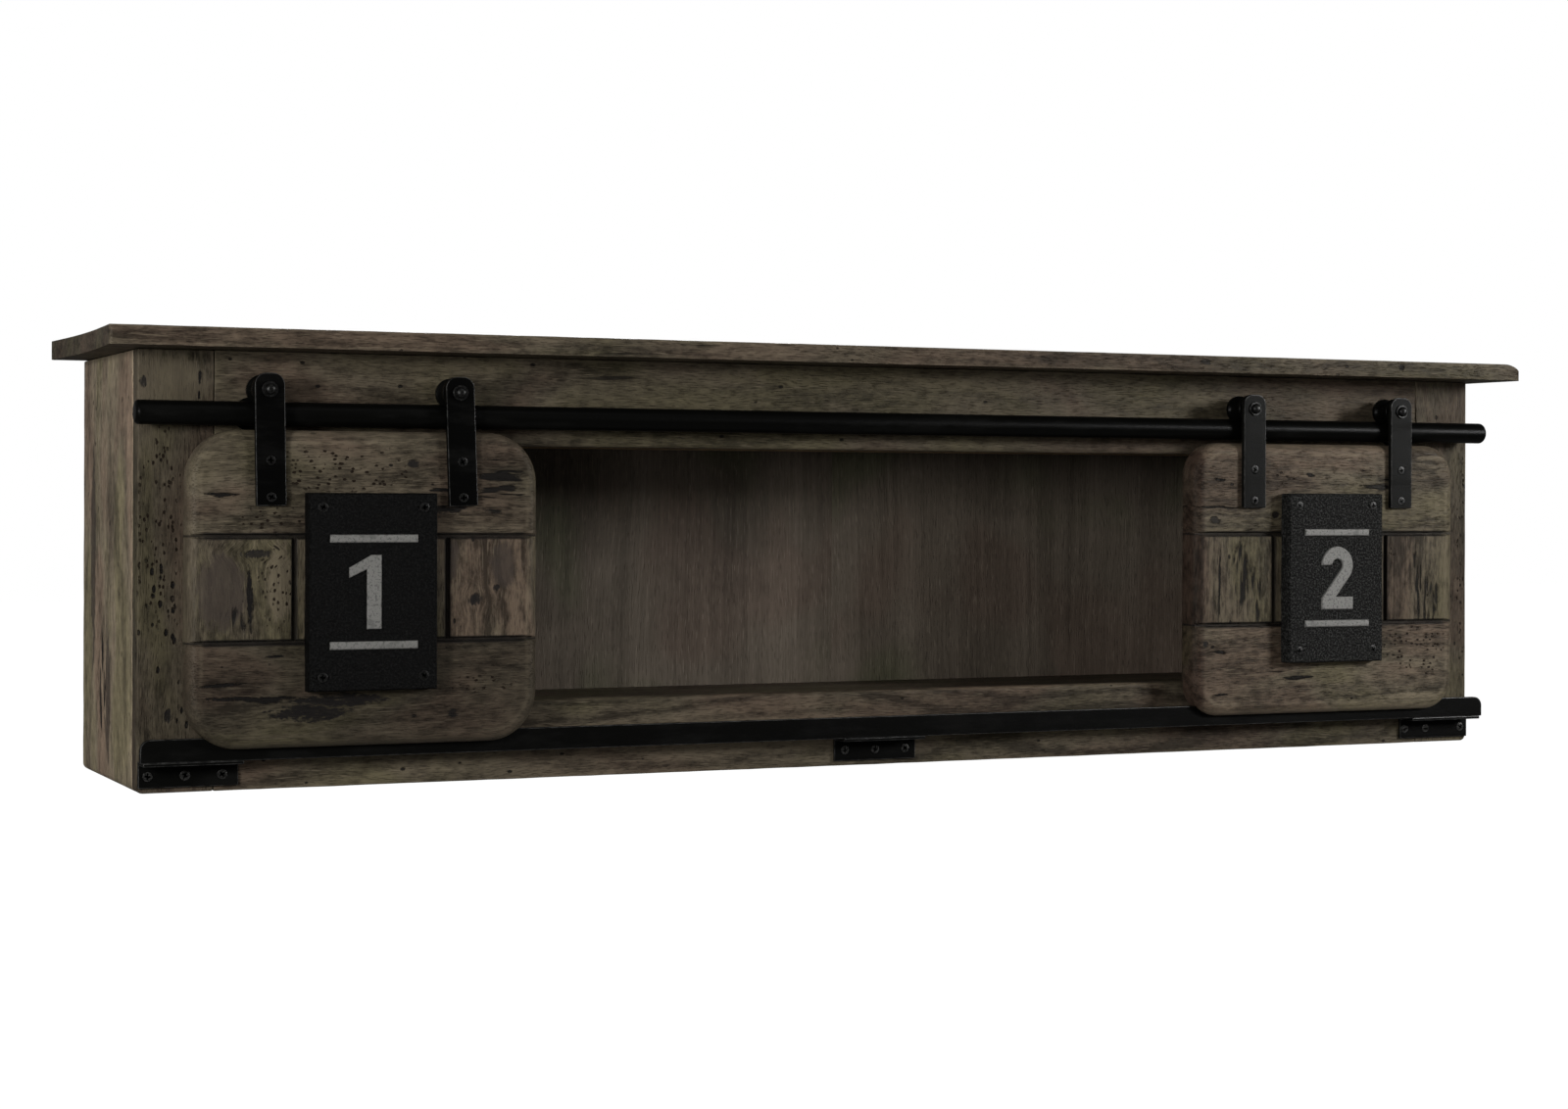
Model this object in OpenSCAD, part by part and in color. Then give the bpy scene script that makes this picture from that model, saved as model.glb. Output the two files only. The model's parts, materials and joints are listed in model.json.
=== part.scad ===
// Wall shelf: an open box of weathered wood under an overhanging top board, with two
// plank doors that hang from a steel rod on grooved rollers and run along a flat rail.
// The X axis runs along the shelf, +Y points into the wall and +Z up. The origin is the
// middle of the whole shelf's base.

/* [Cabinet] */
// Width of the box, over its sides
cabinet_w = 1400; // [1200:10:1700]
// Height of the box, under the top board
cabinet_h = 380; // [350:5:460]
// Depth of the box, front frame and back panel included
cabinet_d = 246; // [200:2:320]
// Thickness of the side panels
side_t = 20; // [16:1:26]
// Thickness of the front frame
frame_t = 20; // [16:1:26]
// Width of each stile of the front frame
stile_w = 66; // [50:1:85]
// Height of the header rail across the top of the opening
header_h = 80; // [72:1:95]
// Height of the sill rail across the bottom of the opening
sill_h = 71; // [66:1:85]
// Radius of the eased edges of header and sill
eased_r = 3; // [1:0.5:5]
// Radius of the lower outer corners of the box
box_corner_r = 6; // [2:1:10]
// Thickness of the floor panel
floor_t = 18; // [12:1:20]
// How far the floor lies below the top of the sill
floor_drop = 8; // [3:1:12]
// Thickness of the back panels
back_t = 5; // [4:1:8]
// Where the two back panels meet, from the middle of the box
back_seam_x = 70; // [-120:10:120]
// Thickness of the hanging rail and of the lower back rail
back_rail_t = 20; // [16:1:26]
// Height of the hanging rail
hanging_rail_h = 77; // [60:1:90]

/* [Top board] */
// Thickness of the top board
top_t = 17; // [14:1:26]
// How far the top board stands out over the front
front_overhang = 54; // [48:1:80]
// How far the top board stands out over each side
side_overhang = 34.5; // [12:0.5:60]
// Depth of the hollow that wear has left in each end of the top board, seen from above
top_hollow = 7.5; // [1:0.5:10]
// Distance of the hollow's deepest place from the middle of the end
top_hollow_y = 15; // [0:1:40]
// Radius of the left front and right back corners of the top board, seen from above
top_corner_r = 3; // [2:1:20]
// Radius of the left back and right front corners of the top board, seen from above
top_round_corner_r = 13; // [6:1:20]
// How far the wear of the right front corner's upper edge reaches in along the diagonal
worn_corner_reach = 20; // [10:1:24]
// Radius of the wear of the right front corner's upper edge
worn_corner_r = 15; // [14:1:40]

/* [Wall fixing] */
// Radius of the holes for the wall screws
wall_hole_r = 3.5; // [2.5:0.25:5]
// Distance between neighbouring wall screws
wall_hole_step = 320; // [200:10:340]
// Height of the wall screws above the lower edge of the hanging rail
wall_hole_rise = 38; // [20:1:45]

/* [Rod] */
// Distance from the front of the box to the middle of rod, rail and doors
track_offset = 22; // [21:0.5:26]
// Radius of the rod
rod_r = 10.5; // [8:0.5:12]
// Height of the rod's axis above the lower edge of the header
rod_rise = 25; // [22:1:30]
// How far the rod stands out over each side of the box, before it is shifted
rod_overhang = 4.5; // [3:0.5:20]
// How far the rod is shifted to the left
rod_shift = 2.5; // [0:0.5:3]
// Radius of the rod's rounded ends
rod_end_r = 4; // [1:0.5:6]
// Distance of each standoff from the side of the box
standoff_inset = 97; // [80:1:140]
// Radius of the standoff's foot
standoff_foot_r = 15; // [11:0.5:15]
// Thickness of the standoff's foot
standoff_foot_t = 3; // [2:0.5:4]
// Radius of the standoff's stem
standoff_stem_r = 6; // [5:0.5:6]
// Radius of the bolt that holds each standoff and the rod
standoff_bolt_r = 3; // [2.5:0.25:3.5]

/* [Guide rail] */
// Thickness of the guide rail
rail_t = 5; // [3:0.5:6]
// Height of the guide rail
rail_h = 20; // [18:1:26]
// Height of the guide rail's lower edge above the base
rail_z = 28; // [26:1:32]
// How far the guide rail stands out over each side of the box
rail_overhang = 1.5; // [0:0.5:12]
// Radius of the guide rail's upper corners
rail_corner_r = 9; // [3:1:12]
// Width of each bracket under the guide rail
bracket_w = 86; // [80:1:110]
// Thickness of the brackets
bracket_t = 3; // [2:0.5:4]
// Height of the lower edge of the brackets above the base
bracket_z = 5; // [2:0.5:6]
// Distance of the outer brackets from the sides of the box
bracket_inset = 1; // [0:1:20]
// Places of the three screws in the left bracket, from its middle
left_bracket_screws = [-35, -3, 29];
// Places of the three screws in the centre bracket, from its middle
centre_bracket_screws = [-32, 0, 32];
// Places of the three screws in the right bracket, from its middle
right_bracket_screws = [-37, -10.5, 34.5];

/* [Doors] */
// Width of the left door
left_door_w = 312; // [280:2:330]
// Width of the right door
right_door_w = 318; // [280:2:330]
// Thickness of the doors
door_t = 30; // [28:1:32]
// Radius of the left door's corners, seen from the front
left_door_corner_r = 44; // [15:1:50]
// Radius of the right door's corners, seen from the front
right_door_corner_r = 33; // [15:1:50]
// Radius of the doors' edges
door_edge_r = 10; // [3:1:12]
// Gap between the rod and the top of the doors
door_top_gap = 3.5; // [2:0.5:10]
// How far the doors reach down over the guide rail
door_overlap = 10; // [8:1:16]
// Distance of the left door from the left side of the box
left_door_inset = 36; // [5:1:80]
// Distance of the right door from the right side of the box
right_door_inset = 44.7; // [5:0.1:80]
// Left vertical joint in the middle row of planks, from the middle of the door
plank_joint_left = -65; // [-90:1:-40]
// Right vertical joint in the middle row of planks, from the middle of the door
plank_joint_right = 72; // [40:1:90]
// Width of the groove over each joint between planks
joint_groove_w = 4; // [2:0.5:6]
// Depth of the groove over each joint between planks
joint_groove_d = 3.5; // [1:0.5:5]
// Thickness of the loose tongues in the joints
tongue_t = 4; // [3:0.5:6]
// Width of the loose tongues, half of it in each plank
tongue_w = 16; // [10:1:20]
// Gap between the three planks of the middle row
plank_gap = 0.2; // [0.1:0.1:1]
// Side clearance of the guide rail in the groove under the doors
guide_side_gap = 1.5; // [0.5:0.5:2.5]
// Clearance above the guide rail in the groove under the doors
guide_top_gap = 4; // [2:0.5:6]

/* [Hangers] */
// Width of the hanger bars
hanger_w = 26; // [22:1:30]
// Thickness of the hanger bars
hanger_t = 5; // [3:0.5:6]
// Distance from the middle of the left door to the bolt of its left roller
left_door_bolt_a = 88; // [76:0.5:110]
// Distance from the middle of the left door to the bolt of its right roller
left_door_bolt_b = 81.5; // [76:0.5:110]
// Distance from the middle of the right door to the bolt of its left roller
right_door_bolt_a = 91.5; // [76:0.5:110]
// Distance from the middle of the right door to the bolt of its right roller
right_door_bolt_b = 88; // [76:0.5:110]
// Degrees by which the left door's left hanger leans out of plumb
left_door_lean_a = 1; // [-2:0.5:3]
// Degrees by which the left door's right hanger leans out of plumb
left_door_lean_b = 2; // [-2:0.5:3]
// How far the hangers reach down over the door
hanger_overlap = 65; // [64:1:67]
// Depth of the upper hanger screw below the top of the door
hanger_screw_top = 26; // [18:1:30]
// Depth of the lower hanger screw below the top of the door
hanger_screw_low = 57.5; // [45:0.5:58]
// Radius of the roller bolts
bolt_r = 4; // [3:0.25:4.5]
// Radius of the bolt heads
bolt_head_r = 5; // [4.5:0.25:6]
// Height of the bolt heads
bolt_head_h = 6; // [4:0.5:7]
// Radius of the collar under each bolt head
bolt_collar_r = 7; // [6.25:0.25:9]
// Radius of the hangers' upper corners
hanger_corner_r = 10; // [3:1:10]
// How far the hangers reach above the middle of the roller bolts
hanger_rise = 14; // [11:1:18]
// Thickness of the nuts on the roller bolts
nut_t = 4.5; // [3:0.5:5]
// Width of the nuts across their flats
nut_w = 13; // [11:0.5:14]

/* [Rollers] */
// Radius at the bottom of a roller's groove
roller_root_r = 9.8; // [8:0.2:12]
// Radius of a roller's rims
roller_rim_r = 13.5; // [12:0.5:14]
// Width of a roller
roller_w = 24; // [20:0.5:24]
// Thickness of the bush in a roller
bush_wall = 2; // [1:0.25:3]

/* [Plates] */
// Width of the cast plate on each door
plate_w = 115; // [90:1:130]
// Height of the cast plate on each door
plate_h = 171; // [130:1:190]
// Thickness of the cast plates
plate_t = 15; // [6:0.5:15]
// Radius of the plates' front edges
plate_edge_r = 2.5; // [1:0.5:3.5]
// Distance of the plate screws from the edges of the plate
plate_screw_inset = 12.5; // [9:0.5:18]
// Height of the numerals on the plates
numeral_h = 64; // [40:1:70]
// Width of the numerals' strokes
numeral_stroke = 13; // [6:1:14]
// Length of the raised bars above and below the numerals
bar_l = 78; // [40:2:80]
// Height of the raised bars
bar_h = 7; // [3:0.5:8]
// How far the numerals and bars stand proud of the plates
relief_t = 2; // [1:0.5:3]
// How far the left plate sits to the right of the middle of its door
left_plate_x = 1; // [-5:0.5:7]
// How far the left plate sits below the middle of its door
left_plate_drop = 2.5; // [-5:0.5:5]
// How far the right plate sits to the right of the middle of its door
right_plate_x = 0.5; // [-5:0.5:7]
// How far the right plate sits above the middle of its door
right_plate_rise = 1; // [-5:0.5:5]

/* [Screws] */
// Radius of the wood screws' heads
screw_head_r = 4.75; // [3.5:0.25:5]
// Radius of the wood screws' shanks
screw_shank_r = 2.25; // [2:0.25:2.5]
// Length of the wood screws
screw_l = 18; // [12:1:19]

/* [Hidden] */
$fn = 64;
// Clearance between parts that move past each other
run_gap = 0.3;
// Radial clearance of a running fit
fit_gap = 0.05;
// Radial clearance of bolts and dowels in their holes
hole_gap = 0.25;
// Overlap that keeps cuts clean
cut = 1;

// Overall depth and the planes that the pieces stand on
total_d = cabinet_d + front_overhang;
front_y = front_overhang - total_d / 2;
back_y = total_d / 2;
half_w = cabinet_w / 2;
inner_half_w = half_w - side_t;
opening_half_w = half_w - stile_w;
frame_back_y = front_y + frame_t;
back_panel_y = back_y - back_t;
back_rail_y = back_panel_y - back_rail_t;

// Heights of the box
header_z = cabinet_h - header_h;
floor_top_z = sill_h - floor_drop;
floor_z = floor_top_z - floor_t;
hanging_rail_z = cabinet_h - hanging_rail_h;
wall_hole_z = hanging_rail_z + wall_hole_rise;
rebate_w = side_t / 2;

// Heights and places of rod, rail and doors
track_y = front_y - track_offset;
rod_z = header_z + rod_rise;
standoff_x = half_w - standoff_inset;
standoff_bolt_tip_y = track_y - rod_r / 5;
bracket_x = half_w - bracket_inset - bracket_w / 2;
bracket_screw_z = (bracket_z + rail_z - bracket_t) / 2;
left_bracket = [-bracket_x, left_bracket_screws];
centre_bracket = [0, centre_bracket_screws];
right_bracket = [bracket_x, right_bracket_screws];
rail_top_z = rail_z + rail_h;
door_top_z = rod_z - rod_r - door_top_gap;
door_z = rail_top_z - door_overlap;
door_h = door_top_z - door_z;
door_mid_z = (door_top_z + door_z) / 2;
row_h = door_h / 3;
door_front_y = track_y - door_t / 2;
door_back_y = track_y + door_t / 2;
left_door_x = left_door_inset + left_door_w / 2 - half_w;
right_door_x = half_w - right_door_inset - right_door_w / 2;
past_door = left_door_w + right_door_w;

// What differs between the doors: the width, the corners' radius, the two bars with the
// place of their bolt and their lean, and the place of the plate's middle in X and Z
left_door = [
    left_door_w,
    left_door_corner_r,
    [[-left_door_bolt_a, left_door_lean_a], [left_door_bolt_b, left_door_lean_b]],
    [left_plate_x, door_mid_z - left_plate_drop]
];
right_door = [
    right_door_w,
    right_door_corner_r,
    [[-right_door_bolt_a, 0], [right_door_bolt_b, 0]],
    [right_plate_x, door_mid_z + right_plate_rise]
];

// Plates, hangers, bolts and rollers
plate_front_y = door_front_y - plate_t;
plate_screw_l = plate_t + 12;
hanger_front_y = door_front_y - hanger_t;
bolt_z = rod_z + rod_r + run_gap + roller_root_r;
hanger_z = door_top_z - hanger_overlap;
roller_front_y = track_y - roller_w / 2;
roller_back_y = track_y + roller_w / 2;
bush_r = bolt_r + fit_gap + bush_wall;
washer_r = bush_r + 2;
nut_y = roller_back_y + run_gap;
bolt_end_y = nut_y + nut_t + 1;
groove_top_z = rail_top_z + guide_top_gap;

// Dowels, blocks, cleats and small screws inside the box
dowel_r = 4;
dowel_l = 40;
block = 40;
block_h = 25;
block_screw_l = block_h + 10;
// The blocks sit in the four corners and along the header
block_places = concat(
    [for (s = [-1, 1], y = [frame_back_y + block / 2, back_rail_y - block / 2])
        [s * (inner_half_w - block / 2), y]],
    [for (s = [-1, 1]) [s * inner_half_w / 3, frame_back_y + block / 2]]
);
cleat = 18;
cleat_end_gap = 15;
cleat_screw_y = [frame_back_y + cleat_end_gap + cleat, back_rail_y - cleat_end_gap - cleat];
cleat_screw_l = cleat + 14;
small_head_r = 3;
small_shank_r = 1.5;
small_screw_l = 16;
small_edge = 30;
back_spans = [[-inner_half_w - rebate_w, back_seam_x], [back_seam_x, inner_half_w + rebate_w]];
back_screw_z = [floor_z / 2, cabinet_h - small_edge / 2];
header_dowel_z = [header_z + header_h / 4, header_z + header_h * 3 / 4];
sill_dowel_z = [sill_h / 2, sill_h * 5 / 6];

// Helpers

// A box from its lowest to its highest corner
module span(low, high) {
    translate(low) cube(high - low);
}

// A round bar along Y
module peg(x, z, y0, y1, r) {
    translate([x, y0, z]) rotate([-90, 0, 0]) cylinder(h = y1 - y0, r = r);
}

// A cone along Y
module taper(x, z, y0, y1, r0, r1) {
    translate([x, y0, z]) rotate([-90, 0, 0]) cylinder(h = y1 - y0, r1 = r0, r2 = r1);
}

// A rectangle about the origin with round corners
module round_rect(w, h, r) {
    square([w - 2 * r, h], center = true);
    square([w, h - 2 * r], center = true);
    for (x = [-1, 1], y = [-1, 1])
        translate([x * (w / 2 - r), y * (h / 2 - r)]) circle(r);
}

// What rounding takes away from a corner at the origin. The piece lies in +x and +y of the
// corner, and each quarter turn takes it on to the next side.
module corner_waste(r, turns = 0) {
    rotate(turns * 90) difference() {
        translate([-cut, -cut]) square(r + cut);
        translate([r, r]) circle(r);
    }
}

// Lays an outline drawn in X and Z between two depths
module upright(y0, y1) {
    translate([0, y1, 0]) rotate([90, 0, 0]) linear_extrude(y1 - y0) children();
}

// Lays an outline drawn in Y and Z between two places along X
module lengthwise(x0, x1) {
    translate([x0, 0, 0]) rotate([90, 0, 90]) linear_extrude(x1 - x0) children();
}

// A countersunk wood screw driven towards +Y, its head flush with the plane y
module wood_screw(x, z, y, l = screw_l) {
    taper(x, z, y, y + screw_head_r - screw_shank_r, screw_head_r, screw_shank_r);
    peg(x, z, y + screw_head_r - screw_shank_r, y + l, screw_shank_r);
}

// The box

// What wear takes away from the left end of the top board, seen from above
module board_end_waste() {
    front_l = total_d / 2 + top_hollow_y;
    r = (front_l * front_l + top_hollow * top_hollow) / (2 * top_hollow);
    translate([top_hollow - half_w - side_overhang - r, top_hollow_y]) circle(r, $fn = 160);
    translate([-half_w - side_overhang, -total_d / 2]) corner_waste(top_corner_r);
    translate([top_hollow / 3 - half_w - side_overhang, total_d / 2])
        corner_waste(top_round_corner_r, 3);
}

// What wear takes away from the upper edge at the top board's right front corner
module worn_corner_waste() {
    translate([half_w + side_overhang, -total_d / 2, cabinet_h + top_t]) rotate([0, 0, -45])
        rotate([90, 0, 0]) linear_extrude(4 * worn_corner_reach, center = true) difference() {
            translate([-worn_corner_reach, -worn_corner_r])
                square([worn_corner_reach + cut, worn_corner_r + cut]);
            translate([-worn_corner_reach, -worn_corner_r]) circle(worn_corner_r);
        }
}

// Both ends are alike, turned about the middle of the board
module top_board() color("tan") difference() {
    translate([0, 0, cabinet_h]) linear_extrude(top_t) difference() {
        square([cabinet_w + 2 * side_overhang, total_d], center = true);
        for (turn = [0, 180]) rotate(turn) board_end_waste();
    }
    worn_corner_waste();
    for (p = block_places) block_screw(p);
}

// The outline of a side of the box, from x0 to x1, with its lower outer corner rounded
module side_outline(x0, x1) {
    difference() {
        translate([min(x0, x1), 0]) square([abs(x1 - x0), cabinet_h]);
        translate([x1, 0]) corner_waste(box_corner_r, x1 > x0 ? 1 : 0);
    }
}

module side_panel(s) {
    difference() {
        upright(frame_back_y, back_y) side_outline(s * inner_half_w, s * half_w);
        span([s > 0 ? inner_half_w - cut : -inner_half_w - rebate_w, back_panel_y, -cut],
             [s > 0 ? inner_half_w + rebate_w : -inner_half_w + cut, back_y + cut, cabinet_h + cut]);
        for (y = cleat_screw_y) cleat_screw(s, y);
    }
}

module side_panel_left() color("tan") side_panel(-1);
module side_panel_right() color("tan") side_panel(1);

// Dowels across the joints between stiles and cross rails, or their holes with an end gap
module dowels(end_gap) {
    for (s = [-1, 1], z = concat(header_dowel_z, sill_dowel_z))
        translate([s * opening_half_w - dowel_l / 2 - end_gap, front_y + frame_t / 2, z])
            rotate([0, 90, 0]) cylinder(h = dowel_l + 2 * end_gap, r = dowel_r);
}

module stile(s) {
    difference() {
        upright(front_y, frame_back_y) side_outline(s * opening_half_w, s * half_w);
        dowels(hole_gap);
        bracket_screw_holes(s > 0 ? right_bracket : left_bracket);
    }
}

module stile_left() color("tan") stile(-1);
module stile_right() color("tan") stile(1);

module frame_dowels() color("burlywood") dowels(0);

module header_rail() color("tan") difference() {
    lengthwise(-opening_half_w, opening_half_w) difference() {
        translate([front_y, header_z]) square([frame_t, header_h]);
        translate([front_y, header_z]) corner_waste(eased_r);
    }
    dowels(hole_gap);
    for (s = [-1, 1])
        peg(s * standoff_x, rod_z, front_y - cut, frame_back_y + cut, standoff_bolt_r + hole_gap);
}

module sill_rail() color("tan") difference() {
    lengthwise(-opening_half_w, opening_half_w) difference() {
        translate([front_y, 0]) square([frame_t, sill_h]);
        translate([front_y, sill_h]) corner_waste(eased_r, 3);
    }
    dowels(hole_gap);
    for (bracket = [left_bracket, centre_bracket, right_bracket])
        bracket_screw_holes(bracket);
}

module floor_panel() color("tan")
    span([-inner_half_w, frame_back_y, floor_z], [inner_half_w, back_panel_y, floor_top_z]);

module floor_cleats() color("burlywood") for (s = [-1, 1]) difference() {
    span([s > 0 ? inner_half_w - cleat : -inner_half_w, frame_back_y + cleat_end_gap, floor_z - cleat],
         [s > 0 ? inner_half_w : cleat - inner_half_w, back_rail_y - cleat_end_gap, floor_z]);
    for (y = cleat_screw_y) cleat_screw(s, y);
}

// A screw through a cleat into the side of the box
module cleat_screw(s, y) {
    translate([s * (inner_half_w - cleat), y, floor_z - cleat / 2]) rotate([0, s * 90, 0]) {
        cylinder(h = screw_head_r - screw_shank_r, r1 = screw_head_r, r2 = screw_shank_r);
        cylinder(h = cleat_screw_l, r = screw_shank_r);
    }
}

module cleat_screws() color("gray") for (s = [-1, 1], y = cleat_screw_y) cleat_screw(s, y);

// Places of the small screws along one back panel
function back_screw_x(run) = [
    run[0] + small_edge + rebate_w,
    (run[0] + run[1]) / 2,
    run[1] - small_edge - rebate_w
];

module back_screw(x, z) {
    taper(x, z, back_y - (small_head_r - small_shank_r), back_y, small_shank_r, small_head_r);
    peg(x, z, back_y - small_screw_l, back_y, small_shank_r);
}

module back_screws(run) {
    for (x = back_screw_x(run), z = back_screw_z) back_screw(x, z);
}

module wall_holes() {
    for (k = [-1.5, -0.5, 0.5, 1.5])
        peg(k * wall_hole_step, wall_hole_z, back_rail_y - cut, back_y + cut, wall_hole_r);
}

module back_panel(run) {
    difference() {
        span([run[0], back_panel_y, 0], [run[1], back_y, cabinet_h]);
        back_screws(run);
        wall_holes();
    }
}

module back_panel_left() color("peru") back_panel(back_spans[0]);
module back_panel_right() color("peru") back_panel(back_spans[1]);
module back_panel_screws() color("gray") for (run = back_spans) back_screws(run);

module hanging_rail() color("burlywood") difference() {
    span([-inner_half_w, back_rail_y, hanging_rail_z], [inner_half_w, back_panel_y, cabinet_h]);
    wall_holes();
    for (run = back_spans) back_screws(run);
}

module lower_back_rail() color("burlywood") difference() {
    span([-inner_half_w, back_rail_y, 0], [inner_half_w, back_panel_y, floor_z]);
    for (run = back_spans) back_screws(run);
}

// A screw up through a block into the top board
module block_screw(p) {
    translate([p[0], p[1], cabinet_h - block_h]) {
        cylinder(h = screw_head_r - screw_shank_r, r1 = screw_head_r, r2 = screw_shank_r);
        cylinder(h = block_screw_l, r = screw_shank_r);
    }
}

module corner_blocks() color("burlywood") for (p = block_places) difference() {
    span([p[0] - block / 2, p[1] - block / 2, cabinet_h - block_h],
         [p[0] + block / 2, p[1] + block / 2, cabinet_h]);
    block_screw(p);
}

module block_screws() color("gray") for (p = block_places) block_screw(p);

// The rod and what carries it

module rod_outline() {
    length = cabinet_w + 2 * rod_overhang;
    difference() {
        square([rod_r, length]);
        translate([rod_r, 0]) corner_waste(rod_end_r, 1);
        translate([rod_r, length]) corner_waste(rod_end_r, 2);
    }
}

module track_rod() color("dimgray") difference() {
    translate([-half_w - rod_overhang - rod_shift, track_y, rod_z]) rotate([0, 90, 0])
        rotate_extrude() rod_outline();
    for (s = [-1, 1])
        peg(s * standoff_x, rod_z, standoff_bolt_tip_y, front_y, standoff_bolt_r);
}

module rod_standoffs() color("dimgray") for (s = [-1, 1]) difference() {
    union() {
        peg(s * standoff_x, rod_z, front_y - standoff_foot_t, front_y, standoff_foot_r);
        peg(s * standoff_x, rod_z, track_y, front_y, standoff_stem_r);
    }
    peg(s * standoff_x, rod_z, track_y - cut, front_y + cut, standoff_bolt_r + hole_gap);
    translate([s * standoff_x - rod_r * 2, track_y, rod_z]) rotate([0, 90, 0])
        cylinder(h = rod_r * 4, r = rod_r);
}

module standoff_bolts() color("gray") for (s = [-1, 1]) {
    peg(s * standoff_x, rod_z, standoff_bolt_tip_y, frame_back_y, standoff_bolt_r);
    peg(s * standoff_x, rod_z, frame_back_y, frame_back_y + standoff_bolt_r, standoff_bolt_r * 2);
}

// The guide rail and its brackets

module guide_rail() color("dimgray") upright(track_y - rail_t / 2, track_y + rail_t / 2)
    difference() {
        translate([-half_w - rail_overhang, rail_z])
            square([cabinet_w + 2 * rail_overhang, rail_h]);
        for (s = [-1, 1])
            translate([s * (half_w + rail_overhang), rail_top_z])
                corner_waste(rail_corner_r, s > 0 ? 2 : 3);
    }

module bracket_screw_holes(bracket) {
    for (x = bracket[1])
        peg(bracket[0] + x, bracket_screw_z, front_y - cut, front_y - bracket_t + screw_l,
            screw_shank_r);
}

module bracket_screws(bracket) {
    for (x = bracket[1])
        wood_screw(bracket[0] + x, bracket_screw_z, front_y - bracket_t);
}

module rail_bracket(bracket) difference() {
    union() {
        span([bracket[0] - bracket_w / 2, front_y - bracket_t, bracket_z],
             [bracket[0] + bracket_w / 2, front_y, rail_z]);
        span([bracket[0] - bracket_w / 2, track_y - rail_t / 2, rail_z - bracket_t],
             [bracket[0] + bracket_w / 2, front_y, rail_z]);
    }
    bracket_screws(bracket);
}

module rail_bracket_left() color("dimgray") rail_bracket(left_bracket);
module rail_bracket_centre() color("dimgray") rail_bracket(centre_bracket);
module rail_bracket_right() color("dimgray") rail_bracket(right_bracket);

module rail_bracket_screws() color("gray")
    for (bracket = [left_bracket, centre_bracket, right_bracket]) bracket_screws(bracket);

// The doors, each drawn about the middle of its width

// One door before it is cut into planks, rounded at its corners and along its edges
module door_slab(door) {
    translate([0, track_y, door_mid_z]) intersection() {
        rotate([90, 0, 0]) linear_extrude(door_t + 2 * cut, center = true)
            round_rect(door[0], door_h, door[1]);
        rotate([90, 0, 90]) linear_extrude(door[0] + 2 * cut, center = true)
            round_rect(door_t, door_h, door_edge_r);
        linear_extrude(door_h + 2 * cut, center = true)
            round_rect(door[0], door_t, door_edge_r);
    }
}

// Grooves over the joints between the planks
module joint_grooves() {
    w = joint_groove_w / 2;
    deep_y = door_front_y + joint_groove_d;
    for (z = [door_z + row_h, door_z + 2 * row_h])
        span([-past_door, door_front_y - cut, z - w], [past_door, deep_y, z + w]);
    for (x = [plank_joint_left, plank_joint_right])
        span([x - w, door_front_y - cut, door_z + row_h], [x + w, deep_y, door_z + 2 * row_h]);
}

// Loose tongues in the joints, which stop short of the door's sides and of each other
module tongues(door) {
    y0 = track_y - tongue_t / 2;
    y1 = track_y + tongue_t / 2;
    end = door[0] / 2 - door[1];
    for (z = [door_z + row_h, door_z + 2 * row_h])
        span([-end, y0, z - tongue_w / 2], [end, y1, z + tongue_w / 2]);
    for (x = [plank_joint_left, plank_joint_right])
        span([x - tongue_w / 2, y0, door_z + row_h + tongue_w / 2 + cut],
             [x + tongue_w / 2, y1, door_z + 2 * row_h - tongue_w / 2 - cut]);
}

// The groove along the underside of a door, in which the guide rail runs
module guide_groove() {
    w = rail_t / 2 + guide_side_gap;
    span([-past_door, track_y - w, door_z - cut], [past_door, track_y + w, groove_top_z]);
}

module door_plank(door, x0, x1, z0, z1) difference() {
    intersection() {
        door_slab(door);
        span([x0, door_front_y - cut, z0], [x1, door_back_y + cut, z1]);
    }
    joint_grooves();
    tongues(door);
    guide_groove();
    hanger_screws(door);
    plate_screws(door);
}

module top_plank(door)
    door_plank(door, -past_door, past_door, door_z + 2 * row_h, door_top_z + cut);

module bottom_plank(door)
    door_plank(door, -past_door, past_door, door_z - cut, door_z + row_h);

module middle_planks(door) {
    edges = [-past_door, plank_joint_left, plank_joint_right, past_door];
    for (k = [0, 1, 2])
        door_plank(door, edges[k] + plank_gap / 2, edges[k + 1] - plank_gap / 2,
                   door_z + row_h, door_z + 2 * row_h);
}

// Hangers, with their screws, bolts, washers and nuts

// The screws lie on the middle line of their bar, which leans about its bolt
module hanger_screws(door) {
    for (bar = door[2], drop = [hanger_screw_top, hanger_screw_low]) {
        down = bolt_z - door_top_z + drop;
        wood_screw(bar[0] + down * sin(bar[1]), bolt_z - down * cos(bar[1]), hanger_front_y);
    }
}

module hangers(door) difference() {
    upright(hanger_front_y, door_front_y) for (bar = door[2])
        translate([bar[0], bolt_z]) rotate(bar[1]) difference() {
            translate([-hanger_w / 2, hanger_z - bolt_z])
                square([hanger_w, bolt_z + hanger_rise - hanger_z]);
            translate([-hanger_w / 2, hanger_rise]) corner_waste(hanger_corner_r, 3);
            translate([hanger_w / 2, hanger_rise]) corner_waste(hanger_corner_r, 2);
        }
    hanger_screws(door);
    for (bar = door[2])
        peg(bar[0], bolt_z, hanger_front_y - cut, door_front_y + cut, bolt_r);
}

// A roller bolt's head, domed by rounding its rim, with a thin collar under it
module bolt_head() {
    rotate_extrude() difference() {
        square([bolt_head_r, bolt_head_h]);
        translate([bolt_head_r, bolt_head_h]) corner_waste(bolt_head_r * 0.8, 2);
    }
    cylinder(h = bolt_head_h / 4, r = bolt_collar_r);
}

module roller_bolts(door) for (bar = door[2]) {
    translate([bar[0], hanger_front_y, bolt_z]) rotate([90, 0, 0]) bolt_head();
    peg(bar[0], bolt_z, hanger_front_y, bolt_end_y, bolt_r);
}

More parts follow.
